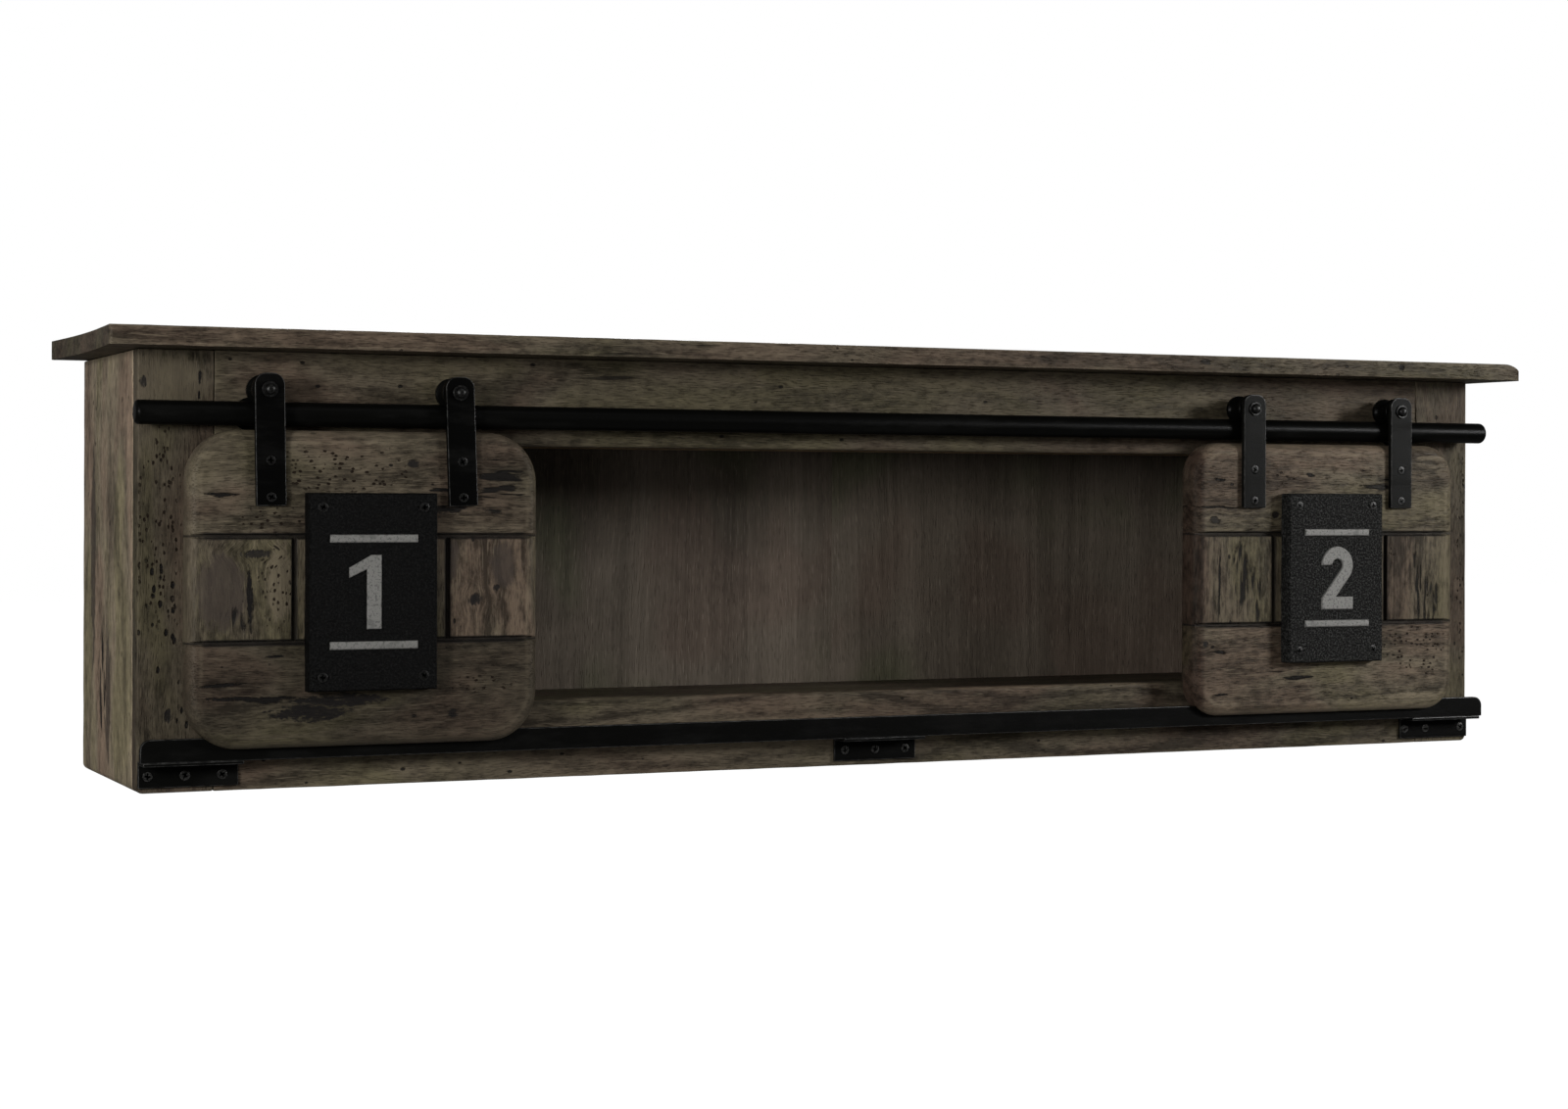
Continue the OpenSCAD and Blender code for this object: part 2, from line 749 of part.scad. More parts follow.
module washers(door) for (bar = door[2]) difference() {
    peg(bar[0], bolt_z, door_front_y, roller_front_y - run_gap, washer_r);
    peg(bar[0], bolt_z, door_front_y - cut, roller_front_y + cut, bolt_r);
}

module nuts(door) for (bar = door[2]) difference() {
    translate([bar[0], nut_y, bolt_z]) rotate([-90, 30, 0])
        cylinder(h = nut_t, r = nut_w / 2 / cos(30), $fn = 6);
    peg(bar[0], bolt_z, nut_y - cut, nut_y + nut_t + cut, bolt_r);
}

// A grooved roller about its bolt, the groove lying on the rod with a small gap
module roller(bar) {
    translate([bar[0], roller_front_y, bolt_z]) rotate([-90, 0, 0])
        rotate_extrude() difference() {
            translate([bush_r, 0]) square([roller_rim_r - bush_r, roller_w]);
            translate([bolt_z - rod_z, roller_w / 2]) circle(rod_r + run_gap);
        }
}

module bush(bar) difference() {
    peg(bar[0], bolt_z, roller_front_y, roller_back_y, bush_r);
    peg(bar[0], bolt_z, roller_front_y - cut, roller_back_y + cut, bolt_r + fit_gap);
}

// The cast plates, each with a raised plain numeral between two bars

module plate_screws(door) {
    for (i = [-1, 1], j = [-1, 1])
        wood_screw(door[3][0] + i * (plate_w / 2 - plate_screw_inset),
                   door[3][1] + j * (plate_h / 2 - plate_screw_inset),
                   plate_front_y, plate_screw_l);
}

// The plate's outline in two views, its front edges rounded, and what they share
module plate_body() intersection() {
    translate([0, 0, -plate_h / 2]) linear_extrude(plate_h) difference() {
        translate([-plate_w / 2, plate_front_y]) square([plate_w, plate_t]);
        translate([-plate_w / 2, plate_front_y]) corner_waste(plate_edge_r, 0);
        translate([plate_w / 2, plate_front_y]) corner_waste(plate_edge_r, 1);
    }
    lengthwise(-plate_w / 2, plate_w / 2) difference() {
        translate([plate_front_y, -plate_h / 2]) square([plate_t, plate_h]);
        translate([plate_front_y, -plate_h / 2]) corner_waste(plate_edge_r, 0);
        translate([plate_front_y, plate_h / 2]) corner_waste(plate_edge_r, 3);
    }
}

// A plain one: a stem with a flag
module numeral_one() {
    translate([-numeral_stroke / 2, 0]) square([numeral_stroke, numeral_h]);
    intersection() {
        translate([0, numeral_h - numeral_stroke / 2]) rotate(215)
            translate([0, -numeral_stroke / 2]) square([numeral_h / 3, numeral_stroke]);
        translate([-numeral_h, 0]) square([numeral_h, numeral_h]);
    }
}

// A plain two: three quarters of a ring, a slanted stroke and a foot
module numeral_two() {
    r = numeral_h * 0.3;
    mid_r = r - numeral_stroke / 2;
    difference() {
        translate([0, numeral_h - r]) circle(r);
        translate([0, numeral_h - r]) circle(r - numeral_stroke);
        translate([-r, numeral_h - 2 * r]) square([r, r]);
        translate([0, numeral_h - r]) rotate(-135) square(2 * r);
    }
    intersection() {
        translate([mid_r * cos(45), numeral_h - r - mid_r * sin(45)]) rotate(225)
            translate([0, -numeral_stroke / 2]) square([numeral_h, numeral_stroke]);
        translate([-r, 0]) square([2 * r, numeral_h]);
    }
    translate([-r, 0]) square([2 * r, numeral_stroke]);
}

module plate(door) difference() {
    translate([door[3][0], 0, door[3][1]]) {
        plate_body();
        upright(plate_front_y - relief_t, plate_front_y + relief_t) {
            translate([0, -numeral_h / 2]) children();
            for (s = [-1, 1]) translate([0, s * (numeral_h / 2 + 2 * bar_h)])
                square([bar_l, bar_h], center = true);
        }
    }
    plate_screws(door);
}

// The left door, its pieces set at their place along the box

module at_left() translate([left_door_x, 0, 0]) children();

module left_door_top_plank() color("tan") at_left() top_plank(left_door);
module left_door_middle_planks() color("tan") at_left() middle_planks(left_door);
module left_door_bottom_plank() color("tan") at_left() bottom_plank(left_door);
module left_door_tongues() color("burlywood") at_left() tongues(left_door);
module left_door_hangers() color("dimgray") at_left() hangers(left_door);
module left_door_hanger_screws() color("gray") at_left() hanger_screws(left_door);
module left_door_roller_bolts() color("gray") at_left() roller_bolts(left_door);
module left_door_washers() color("gray") at_left() washers(left_door);
module left_door_nuts() color("gray") at_left() nuts(left_door);
module left_door_roller_a() color("dimgray") at_left() roller(left_door[2][0]);
module left_door_roller_b() color("dimgray") at_left() roller(left_door[2][1]);
module left_door_bush_a() color("goldenrod") at_left() bush(left_door[2][0]);
module left_door_bush_b() color("goldenrod") at_left() bush(left_door[2][1]);
module left_door_plate() color("dimgray") at_left() plate(left_door) numeral_one();
module left_door_plate_screws() color("gray") at_left() plate_screws(left_door);

// The right door

module at_right() translate([right_door_x, 0, 0]) children();

module right_door_top_plank() color("tan") at_right() top_plank(right_door);
module right_door_middle_planks() color("tan") at_right() middle_planks(right_door);
module right_door_bottom_plank() color("tan") at_right() bottom_plank(right_door);
module right_door_tongues() color("burlywood") at_right() tongues(right_door);
module right_door_hangers() color("dimgray") at_right() hangers(right_door);
module right_door_hanger_screws() color("gray") at_right() hanger_screws(right_door);
module right_door_roller_bolts() color("gray") at_right() roller_bolts(right_door);
module right_door_washers() color("gray") at_right() washers(right_door);
module right_door_nuts() color("gray") at_right() nuts(right_door);
module right_door_roller_a() color("dimgray") at_right() roller(right_door[2][0]);
module right_door_roller_b() color("dimgray") at_right() roller(right_door[2][1]);
module right_door_bush_a() color("goldenrod") at_right() bush(right_door[2][0]);
module right_door_bush_b() color("goldenrod") at_right() bush(right_door[2][1]);
module right_door_plate() color("dimgray") at_right() plate(right_door) numeral_two();
module right_door_plate_screws() color("gray") at_right() plate_screws(right_door);

top_board();
side_panel_left();
side_panel_right();
stile_left();
stile_right();
header_rail();
sill_rail();
floor_panel();
floor_cleats();
cleat_screws();
back_panel_left();
back_panel_right();
back_panel_screws();
hanging_rail();
lower_back_rail();
frame_dowels();
corner_blocks();
block_screws();
track_rod();
rod_standoffs();
standoff_bolts();
guide_rail();
rail_bracket_left();
rail_bracket_centre();
rail_bracket_right();
rail_bracket_screws();
left_door_top_plank();
left_door_middle_planks();
left_door_bottom_plank();
left_door_tongues();
left_door_hangers();
left_door_hanger_screws();
left_door_roller_bolts();
left_door_washers();
left_door_nuts();
left_door_roller_a();
left_door_roller_b();
left_door_bush_a();
left_door_bush_b();
left_door_plate();
left_door_plate_screws();
right_door_top_plank();
right_door_middle_planks();
right_door_bottom_plank();
right_door_tongues();
right_door_hangers();
right_door_hanger_screws();
right_door_roller_bolts();
right_door_washers();
right_door_nuts();
right_door_roller_a();
right_door_roller_b();
right_door_bush_a();
right_door_bush_b();
right_door_plate();
right_door_plate_screws();
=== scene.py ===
"""Dresses the frame of a weathered wall shelf: smoked boards, plank doors, black steel and cast plates."""
import json
import math

import bmesh
import bpy
from mathutils import Matrix, Vector, noise


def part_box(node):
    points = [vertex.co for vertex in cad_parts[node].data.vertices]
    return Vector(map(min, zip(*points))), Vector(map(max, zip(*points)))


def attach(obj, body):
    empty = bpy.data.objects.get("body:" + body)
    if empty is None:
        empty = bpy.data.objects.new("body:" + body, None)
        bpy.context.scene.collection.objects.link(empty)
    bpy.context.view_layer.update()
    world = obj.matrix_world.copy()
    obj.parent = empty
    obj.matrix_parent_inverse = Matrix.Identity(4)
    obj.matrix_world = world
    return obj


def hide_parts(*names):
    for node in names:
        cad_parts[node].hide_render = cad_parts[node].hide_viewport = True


bl_info = {
    "name": "Weathered wall shelf",
    "version": (1, 0, 0),
    "blender": (4, 5, 0),
    "location": "View3D > Sidebar > Wall shelf",
    "description": "Dresses the frame of a wall shelf whose plank doors roll along a steel rod",
    "category": "Object",
}

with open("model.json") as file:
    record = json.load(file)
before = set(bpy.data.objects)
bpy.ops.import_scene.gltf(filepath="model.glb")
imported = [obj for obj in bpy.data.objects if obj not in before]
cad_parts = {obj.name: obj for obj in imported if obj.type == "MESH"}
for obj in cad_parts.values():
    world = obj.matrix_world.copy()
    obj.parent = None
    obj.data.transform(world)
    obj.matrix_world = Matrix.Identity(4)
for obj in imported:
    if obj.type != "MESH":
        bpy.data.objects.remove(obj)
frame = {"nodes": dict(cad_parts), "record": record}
X, Y, Z = Vector((1, 0, 0)), Vector((0, 1, 0)), Vector((0, 0, 1))
BODY_OF = {node: body for body, nodes in frame["record"]["behaviour"]["bodies"].items() for node in nodes}
SLOT_OF = {part["node"]: part["material_slot"] for part in frame["record"]["subparts"]}
DOORS = ("left_door", "right_door")


class Span:
    """The room that something takes, from its lowest to its highest corner."""

    def __init__(self, low, high):
        self.low, self.high = Vector(low), Vector(high)
        self.size, self.mid = self.high - self.low, (self.low + self.high) / 2
        self.front = Vector((self.mid.x, self.low.y, self.mid.z))

    def cube(self):
        """The transform that turns a unit cube into this room."""
        return Matrix.Translation(self.mid) @ Matrix.Diagonal((*self.size, 1))


def room(node):
    return Span(*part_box(node))


def solids(node):
    """The room of each separate solid of a node, from left to right, then from below."""
    bm = bmesh.new()
    bm.from_mesh(frame["nodes"][node].data)
    bmesh.ops.remove_doubles(bm, verts=bm.verts, dist=1e-6)
    waiting, found = set(bm.verts), []
    while waiting:
        reached, fresh = set(), [next(iter(waiting))]
        while fresh:
            vert = fresh.pop()
            if vert not in reached:
                reached.add(vert)
                fresh.extend(edge.other_vert(vert) for edge in vert.link_edges)
        waiting -= reached
        found.append(Span([min(v.co[i] for v in reached) for i in range(3)],
                          [max(v.co[i] for v in reached) for i in range(3)]))
    bm.free()
    return sorted(found, key=lambda span: (round(span.mid.x, 4), round(span.mid.z, 4)))


# Settings


def colour_setting(name, description, default):
    return bpy.props.FloatVectorProperty(name=name, description=description, subtype="COLOR", size=3,
                                         default=default, min=0, max=1)


def length_setting(name, description, default, low, high):
    return bpy.props.FloatProperty(name=name, description=description, unit="LENGTH", default=default,
                                   min=low, max=high)


class ShelfColours(bpy.types.PropertyGroup):
    """Colours of the shelf's finishes."""

    light_wood: colour_setting("Light wood", "Planed wood between the darker figure",
                               (0.098, 0.0805, 0.0555))
    dark_wood: colour_setting("Dark wood", "Darker figure and growth rings", (0.0245, 0.0198, 0.0137))
    rot: colour_setting("Rot", "Worm holes, cracks and blackened streaks", (0.0038, 0.0034, 0.0034))
    light_veneer: colour_setting("Light veneer", "Lighter ribbons of the back panels", (0.150, 0.124, 0.096))
    dark_veneer: colour_setting("Dark veneer", "Darker ribbons of the back panels", (0.055, 0.0445, 0.0335))
    plain_wood: colour_setting("Plain wood", "Untreated rails, blocks and dowels", (0.30, 0.19, 0.10))
    steel: colour_setting("Black steel", "Blackened rod, rail, bars and rollers", (0.0016, 0.0016, 0.0014))
    bare_steel: colour_setting("Worn steel", "Steel where the black has rubbed thin", (0.045, 0.044, 0.041))
    casting: colour_setting("Casting", "Black paint of the cast plates", (0.0050, 0.0050, 0.0047))
    rubbed: colour_setting("Rubbed casting", "Raised parts of the plates, rubbed bright",
                           (0.125, 0.122, 0.113))


class ShelfSizes(bpy.types.PropertyGroup):
    """Sizes of the details that the frame leaves out."""

    worn_edge: length_setting("Worn edge", "Radius of the boards' worn edges", 0.0012, 0.0002, 0.003)
    edge_wave: length_setting("Edge wave", "How far worn edges wander", 0.0008, 0, 0.003)
    end_hollow: length_setting("End hollow", "How far the top board's ends are worn hollow",
                               0.0075, 0.001, 0.01)
    wide_corner: length_setting("Wide corner", "Radius of the top board's two rounder corners",
                                0.013, 0.006, 0.02)
    narrow_corner: length_setting("Narrow corner", "Radius of the top board's two sharper corners",
                                  0.003, 0.002, 0.01)
    worn_reach: length_setting("Worn reach", "How far in the top board's right front corner is worn down",
                               0.020, 0.016, 0.03)
    worn_round: length_setting("Worn round", "Radius to which that corner is worn down", 0.015, 0.005, 0.016)
    box_corner: length_setting("Box corner", "Radius of the box's lower outer corners", 0.006, 0.001, 0.01)
    eased: length_setting("Eased edge", "Radius of the edges of header and sill around the niche",
                          0.003, 0.001, 0.005)
    left_corner: length_setting("Left door corner", "Radius of the left door's corners", 0.044, 0.01, 0.05)
    right_corner: length_setting("Right door corner", "Radius of the right door's corners",
                                 0.033, 0.01, 0.05)
    door_edge: length_setting("Door edge", "Radius of the doors' edges", 0.0095, 0.002, 0.012)
    joint_width: length_setting("Joint groove width", "Width of the groove over each joint of the doors",
                                0.004, 0.001, 0.006)
    joint_depth: length_setting("Joint groove depth", "Depth of the groove over each joint of the doors",
                                0.0035, 0.001, 0.006)
    bar_width: length_setting("Bar width", "Width of the hanger bars", 0.026, 0.022, 0.03)
    bar_rise: length_setting("Bar rise", "How far the hanger bars reach above their bolt",
                             0.014, 0.011, 0.018)
    bar_corner: length_setting("Bar corner", "Radius of the hangers' upper corners", 0.010, 0.001, 0.012)
    rail_corner: length_setting("Rail corner", "Radius of the guide rail's upper corners",
                                0.009, 0.001, 0.012)
    steel_edge: length_setting("Steel edge", "Radius of the filed edges of the steel", 0.0007, 0.0001, 0.002)
    plate_edge: length_setting("Plate edge", "Radius of the plates' front edges", 0.0025, 0.0005, 0.004)


class ShelfStage(bpy.types.PropertyGroup):
    """Camera, lamps and floor."""

    eye: bpy.props.FloatVectorProperty(
        name="Eye", description="Where the camera stands", subtype="XYZ", unit="LENGTH", size=3,
        default=(-1.17736, -2.46812, 0.25112))
    heading: bpy.props.FloatProperty(
        name="Heading", description="How far the camera turns to the right", subtype="ANGLE",
        default=math.radians(24.526))
    roll: bpy.props.FloatProperty(
        name="Roll", description="How far the camera leans", subtype="ANGLE", default=math.radians(0.181))
    lens: bpy.props.FloatProperty(
        name="Lens", description="Focal length in millimetres on a 36 mm frame",
        default=63.6, min=10, max=300)
    lift: bpy.props.FloatProperty(
        name="Lift", description="Vertical shift of the lens", default=-0.0338, min=-0.5, max=0.5)
    floor_depth: length_setting("Floor depth", "How far the floor lies below the hung shelf", 1.3, 0, 2)
    ambient: bpy.props.FloatProperty(
        name="Ambient", description="Strength of the light from all around", default=0.17, min=0, max=2)


# Finishes


class Value:
    """A node's output, which takes part in ordinary arithmetic."""

    def __init__(self, finish, socket):
        self.finish, self.socket = finish, socket

    def math(self, operation, *terms):
        return self.finish.node("ShaderNodeMath", {"operation": operation}, dict(enumerate(terms)))

    def __add__(self, other):
        return self.math("ADD", self, other)

    __radd__ = __add__

    def __sub__(self, other):
        return self.math("SUBTRACT", self, other)

    def __rsub__(self, other):
        return self.math("SUBTRACT", other, self)

    def __mul__(self, other):
        return self.math("MULTIPLY", self, other)

    __rmul__ = __mul__

    def __truediv__(self, other):
        return self.math("DIVIDE", self, other)

    def __pow__(self, other):
        return self.math("POWER", self, other)

    def highest(self, other):
        return self.math("MAXIMUM", self, other)

    def lowest(self, other):
        return self.math("MINIMUM", self, other)

    def sine(self):
        return self.math("SINE", self)

    def size(self):
        return self.math("ABSOLUTE", self)

    def step(self, low, high):
        """A smooth rise from 0 at low to 1 at high, or a fall where low is the greater."""
        falls = low > high
        rise = self.finish.node("ShaderNodeMapRange", {"interpolation_type": "SMOOTHSTEP"},
                                {"Value": self, "From Min": min(low, high), "From Max": max(low, high)})
        return 1 - rise if falls else rise

    def vector_math(self, operation, other):
        return self.finish.node("ShaderNodeVectorMath", {"operation": operation}, {0: self, 1: other})

    def scaled(self, factors):
        return self.vector_math("MULTIPLY", factors)

    def shifted(self, offset):
        return self.vector_math("ADD", offset)


class Finish:
    """A material that is put together from nodes."""

    def __init__(self, name, **constants):
        self.material = bpy.data.materials.new(name)
        self.material.use_nodes = True
        self.tree = self.material.node_tree
        self.shader = self.tree.nodes["Principled BSDF"]
        for socket, value in constants.items():
            self.shader.inputs[socket.replace("_", " ")].default_value = value

    def node(self, kind, settings=None, inputs=None, out=0):
        """Adds a node, makes its settings, fills or links its sockets and returns one output."""
        made = self.tree.nodes.new(kind)
        for key, value in (settings or {}).items():
            setattr(made, key, value)
        for key, value in (inputs or {}).items():
            if isinstance(value, Value):
                self.tree.links.new(value.socket, made.inputs[key])
            else:
                made.inputs[key].default_value = value
        return Value(self, made.outputs[out])

    def place(self):
        return self.node("ShaderNodeTexCoord", out="Object")

    def parts(self, vector):
        return [self.node("ShaderNodeSeparateXYZ", inputs={0: vector}, out=axis) for axis in "XYZ"]

    def joined(self, x, y, z):
        return self.node("ShaderNodeCombineXYZ", inputs={"X": x, "Y": y, "Z": z})

    def noise(self, vector, scale=1.0, detail=2.0, rough=0.5, warp=0.0):
        return self.node("ShaderNodeTexNoise", inputs={
            "Vector": vector, "Scale": scale, "Detail": detail, "Roughness": rough, "Distortion": warp})

    def grain(self, vector, along, across, detail=2.0, rough=0.5, warp=0.0):
        """Noise that is drawn out along the grain, the vector's first axis."""
        return self.noise(vector.scaled((along, across, across)), 1.0, detail, rough, warp)

    def cells(self, vector, out="Distance"):
        return self.node("ShaderNodeTexVoronoi", inputs={"Vector": vector, "Scale": 1.0}, out=out)

    def mix(self, factor, under, over, blend="MIX"):
        sockets = {0: factor, 6: self.rgba(under), 7: self.rgba(over)}
        return self.node("ShaderNodeMix", {"data_type": "RGBA", "blend_type": blend}, sockets, 2)

    @staticmethod
    def rgba(value):
        return value if isinstance(value, Value) else (*value[:3], 1.0)

    def dress(self, colour, rough, height, relief):
        """Links what varies over the surface to the shader. relief is the depth of height 1 in metres."""
        bump = self.node("ShaderNodeBump", inputs={"Height": height, "Distance": relief})
        for socket, value in (("Base Color", colour), ("Roughness", rough), ("Normal", bump)):
            if isinstance(value, Value):
                self.tree.links.new(value.socket, self.shader.inputs[socket])
            else:
                self.shader.inputs[socket].default_value = value
        return self.material


def tinted(colour, *factors):
    """A colour times one factor, or times one for each channel."""
    if len(factors) == 1:
        factors *= 3
    return [channel * factor for channel, factor in zip(colour, factors)]


def near_edges(finish, span, reach):
    """1 on the edges of a box-like board and 0 further in than reach."""
    x, y, z = [(coordinate - low).lowest(high - coordinate)
               for coordinate, low, high in zip(finish.parts(finish.place()), span.low, span.high)]
    second_least = x.lowest(y).highest(x.highest(y).lowest(z))
    return second_least.step(reach, 0)


class Board:
    """How one board is cut and what the years have done to it.

    grain is the order of the axes: along the grain, across it on the face, into the board. seed
    tells its figure from that of the other boards. heart is the middle of the growth rings across
    the face and deep how far behind it, arch how far the rings wander and spacing their distance.
    light, contrast and figure are how pale it is, how lively, and how much its rings show. marks
    are spots on the face, each a kind with its centre and its half size in X and Z, or in Y and Z
    where the face looks sideways. The kinds are knot, crack, worms, pits, streaks, stain, smoke,
    pale and shade."""

    def __init__(self, grain, seed, heart, deep, arch=0.03, spacing=0.0065, light=1.0, contrast=1.0,
                 figure=1.0, marks=(), face="XZ"):
        self.grain, self.seed, self.heart, self.deep, self.arch = grain, seed, heart, deep, arch
        self.spacing, self.light, self.contrast, self.figure = spacing, light, contrast, figure
        self.marks, self.face = marks, face
        self.offset = (seed * 3.1, seed * 1.7, seed * 0.9)


def spots(axes, board, kind, ragged, bend=None):
    """1 within any of a board's marks of one kind, falling to 0 over a ragged rim, or nothing."""
    mask = None
    for made, across, up, half_across, half_up in board.marks:
        if made == kind:
            a, b = axes[board.face[0]] - across, axes[board.face[1]] - up
            if bend and half_across > half_up:
                b = b + bend
            elif bend:
                a = a + bend
            a, b = a / half_across, b / half_up
            inside = (a * a + b * b + ragged).step(1.25, 0.55)
            mask = inside if mask is None else mask.highest(inside)
    return mask


def outline_depth(axes, span, corner):
    """How far a point lies inside a door's rounded outline."""
    a = (axes["X"] - span.mid.x).size() - (span.size.x / 2 - corner)
    b = (axes["Z"] - span.mid.z).size() - (span.size.z / 2 - corner)
    beyond = (a.highest(0.0) ** 2 + b.highest(0.0) ** 2) ** 0.5
    return corner - beyond - a.highest(b).lowest(0.0)


def smoked_wood(name, board, span=None, door=None):
    """Smoked and waxed wood with rings, pores, knots, worm holes, blackened streaks and stains.

    span is the room of a box-like board whose edges are worn and painted lighter as highlights. door is the
    room of a whole door, the radius of its corners, and the places of its joints in Z and in X."""
    colours = bpy.context.scene.shelf_colours
    finish = Finish(name, IOR=1.45, Specular_IOR_Level=0.11, Specular_Tint=(1.0, 0.93, 0.82, 1.0))
    axes = dict(zip("XYZ", finish.parts(finish.place())))
    along, across, into = (axes[axis] for axis in board.grain)
    straight = finish.joined(along, across, into).shifted(board.offset)
    slow = finish.grain(straight, 3.0, 8.0) - 0.5
    quick = finish.grain(straight, 16.0, 60.0) - 0.5
    # Knots push the grain aside
    for kind, x, z, half_x, half_z in board.marks:
        if kind == "knot" and board.grain[1] in board.face:
            a = (axes[board.face[0]] - x) / (half_x * 2.2)
            b = (axes[board.face[1]] - z) / (half_z * 2.2)
            fall = 0 - a * a - b * b
            near = fall.math("EXPONENT", fall)
            own = z if board.grain[1] == "Z" else x
            across = across - (across - own) * near * 0.85
    bent = across + slow * (board.arch * 0.5) + quick * 0.0035
    lines = finish.joined(along, bent, into).shifted(board.offset)
    off_heart = bent - board.heart
    sunk = into * 0.6 + board.deep
    ring = (off_heart * off_heart + sunk * sunk) ** 0.5 + along * 0.02 + slow * board.arch
    rings = (ring * (math.tau / board.spacing)).sine() * 0.5 + 0.5
    wide_rings = (ring * (math.tau / board.spacing / 3.7)).sine() * 0.5 + 0.5
    # Fibres, bands and clouds
    fibres = finish.grain(lines, 36.0, 470.0, detail=4.0, rough=0.75) - 0.5
    bands = finish.grain(lines, 5.0, 80.0, rough=0.6) - 0.5
    clouds = finish.grain(straight, 7.0, 17.0, detail=4.0, rough=0.6, warp=0.8) - 0.5
    mottle = finish.grain(straight, 60.0, 130.0, detail=4.0, rough=0.75) - 0.5
    hue = finish.grain(straight.shifted((4.0, 9.0, 2.0)), 5.0, 13.0, warp=0.6)
    tone = fibres * 0.85 + bands * 0.40 + clouds * 1.35 + mottle * 1.55
    tone = tone - (rings ** 2 - 0.35) * (0.15 * board.figure) - (wide_rings - 0.5) * (0.14 * board.figure)
    tone = tone * (board.contrast * 1.3) + 0.49
    colour = finish.mix(tone, tinted(colours.dark_wood, board.light),
                        tinted(colours.light_wood, board.light))
    olive, plum = (0.90, 0.96, 0.74), (0.92, 0.74, 0.78)
    colour = finish.mix(hue.step(0.50, 0.64) * 0.6, colour, olive, "MULTIPLY")
    colour = finish.mix(hue.step(0.53, 0.38) * 0.6, colour, plum, "MULTIPLY")
    pores = finish.grain(lines, 95.0, 1000.0, detail=1.0).step(0.56, 0.68)
    colour = finish.mix(pores * 0.60, colour, (0.42, 0.40, 0.40), "MULTIPLY")
    flecks = finish.grain(lines.shifted((1.0, 3.0, 5.0)), 55.0, 800.0, detail=1.0).step(0.60, 0.74)
    colour = finish.mix(flecks * 0.40, colour, tinted(colours.light_wood, board.light * 1.5))
    height = fibres * 0.5 - rings * 0.12 - pores * 0.5
    rough = 0.52 + fibres * 0.25 + pores * 0.15
    coarse = (finish.grain(straight, 50.0, 130.0, detail=4.0, rough=0.75) - 0.5) * 3.0
    fine = (finish.grain(straight, 130.0, 430.0, detail=3.0, rough=0.7) - 0.5) * 3.6
    colour, height = marked(finish, axes, board, (along, across, into), (coarse, fine, quick, fibres),
                            colour, height)
    if span:
        # Edges drawn lighter: partly wear, partly painted highlight along the edges
        worn = near_edges(finish, span, 0.0035) * (0.5 + fibres * 1.5)
        colour = finish.mix(worn * 0.5, colour, tinted(colours.light_wood, board.light * 1.3))
    if door:
        colour = worn_door(finish, axes, board, door, quick, clouds, colour)
    return finish.dress(colour, rough, height, 0.0007)


def worn_door(finish, axes, board, door, quick, clouds, colour):
    """Rubs a door's rounding lighter, partly wear and partly painted highlight, and darkens its joints with
    dirt and painted shade in their grooves.
    """
    colours = bpy.context.scene.shelf_colours
    whole, corner, joints = door
    inside = outline_depth(axes, whole, corner)
    # The rubbed line just inside the rounding and the lighter rounding are partly wear and partly painted
    # highlight
    rubbed = (inside - 0.0105 + quick * 0.004).size().step(0.0028, 0.0003)
    rubbed = rubbed * (clouds + 0.5).step(0.38, 0.62)
    rounding_wear_and_highlight = inside.step(0.010, 0.001) * 0.35
    if whole.mid.x > 0:
        # The right door's left rounding is in painted shade, so it gets neither the rubbed line nor the
        # painted highlight
        past_rounding = (axes["X"] - whole.low.x).step(0.014, 0.020)
        rubbed, rounding_wear_and_highlight = rubbed * past_rounding, rounding_wear_and_highlight * past_rounding
    colour = finish.mix(rubbed * 0.30, colour, tinted(colours.light_wood, board.light * 1.6))
    colour = finish.mix(rounding_wear_and_highlight, colour, tinted(colours.light_wood, board.light * 1.1))
    # A thin dark line at each joint, and painted shade with dirt in the groove inside the rounding
    joint_shade_and_dirt = None
    for axis, place in joints:
        off = (axes[axis] - place + quick * 0.0012).size()
        groove_shade_and_dirt = off.step(0.0040, 0.0020) * inside.step(0.006, 0.016)
        groove_shade_and_dirt = groove_shade_and_dirt.highest(off.step(0.0014, 0.0006) * 0.9)
        joint_shade_and_dirt = groove_shade_and_dirt if joint_shade_and_dirt is None else joint_shade_and_dirt.highest(groove_shade_and_dirt)
    return finish.mix(joint_shade_and_dirt * 0.88, colour, tinted(colours.rot, 1.2))


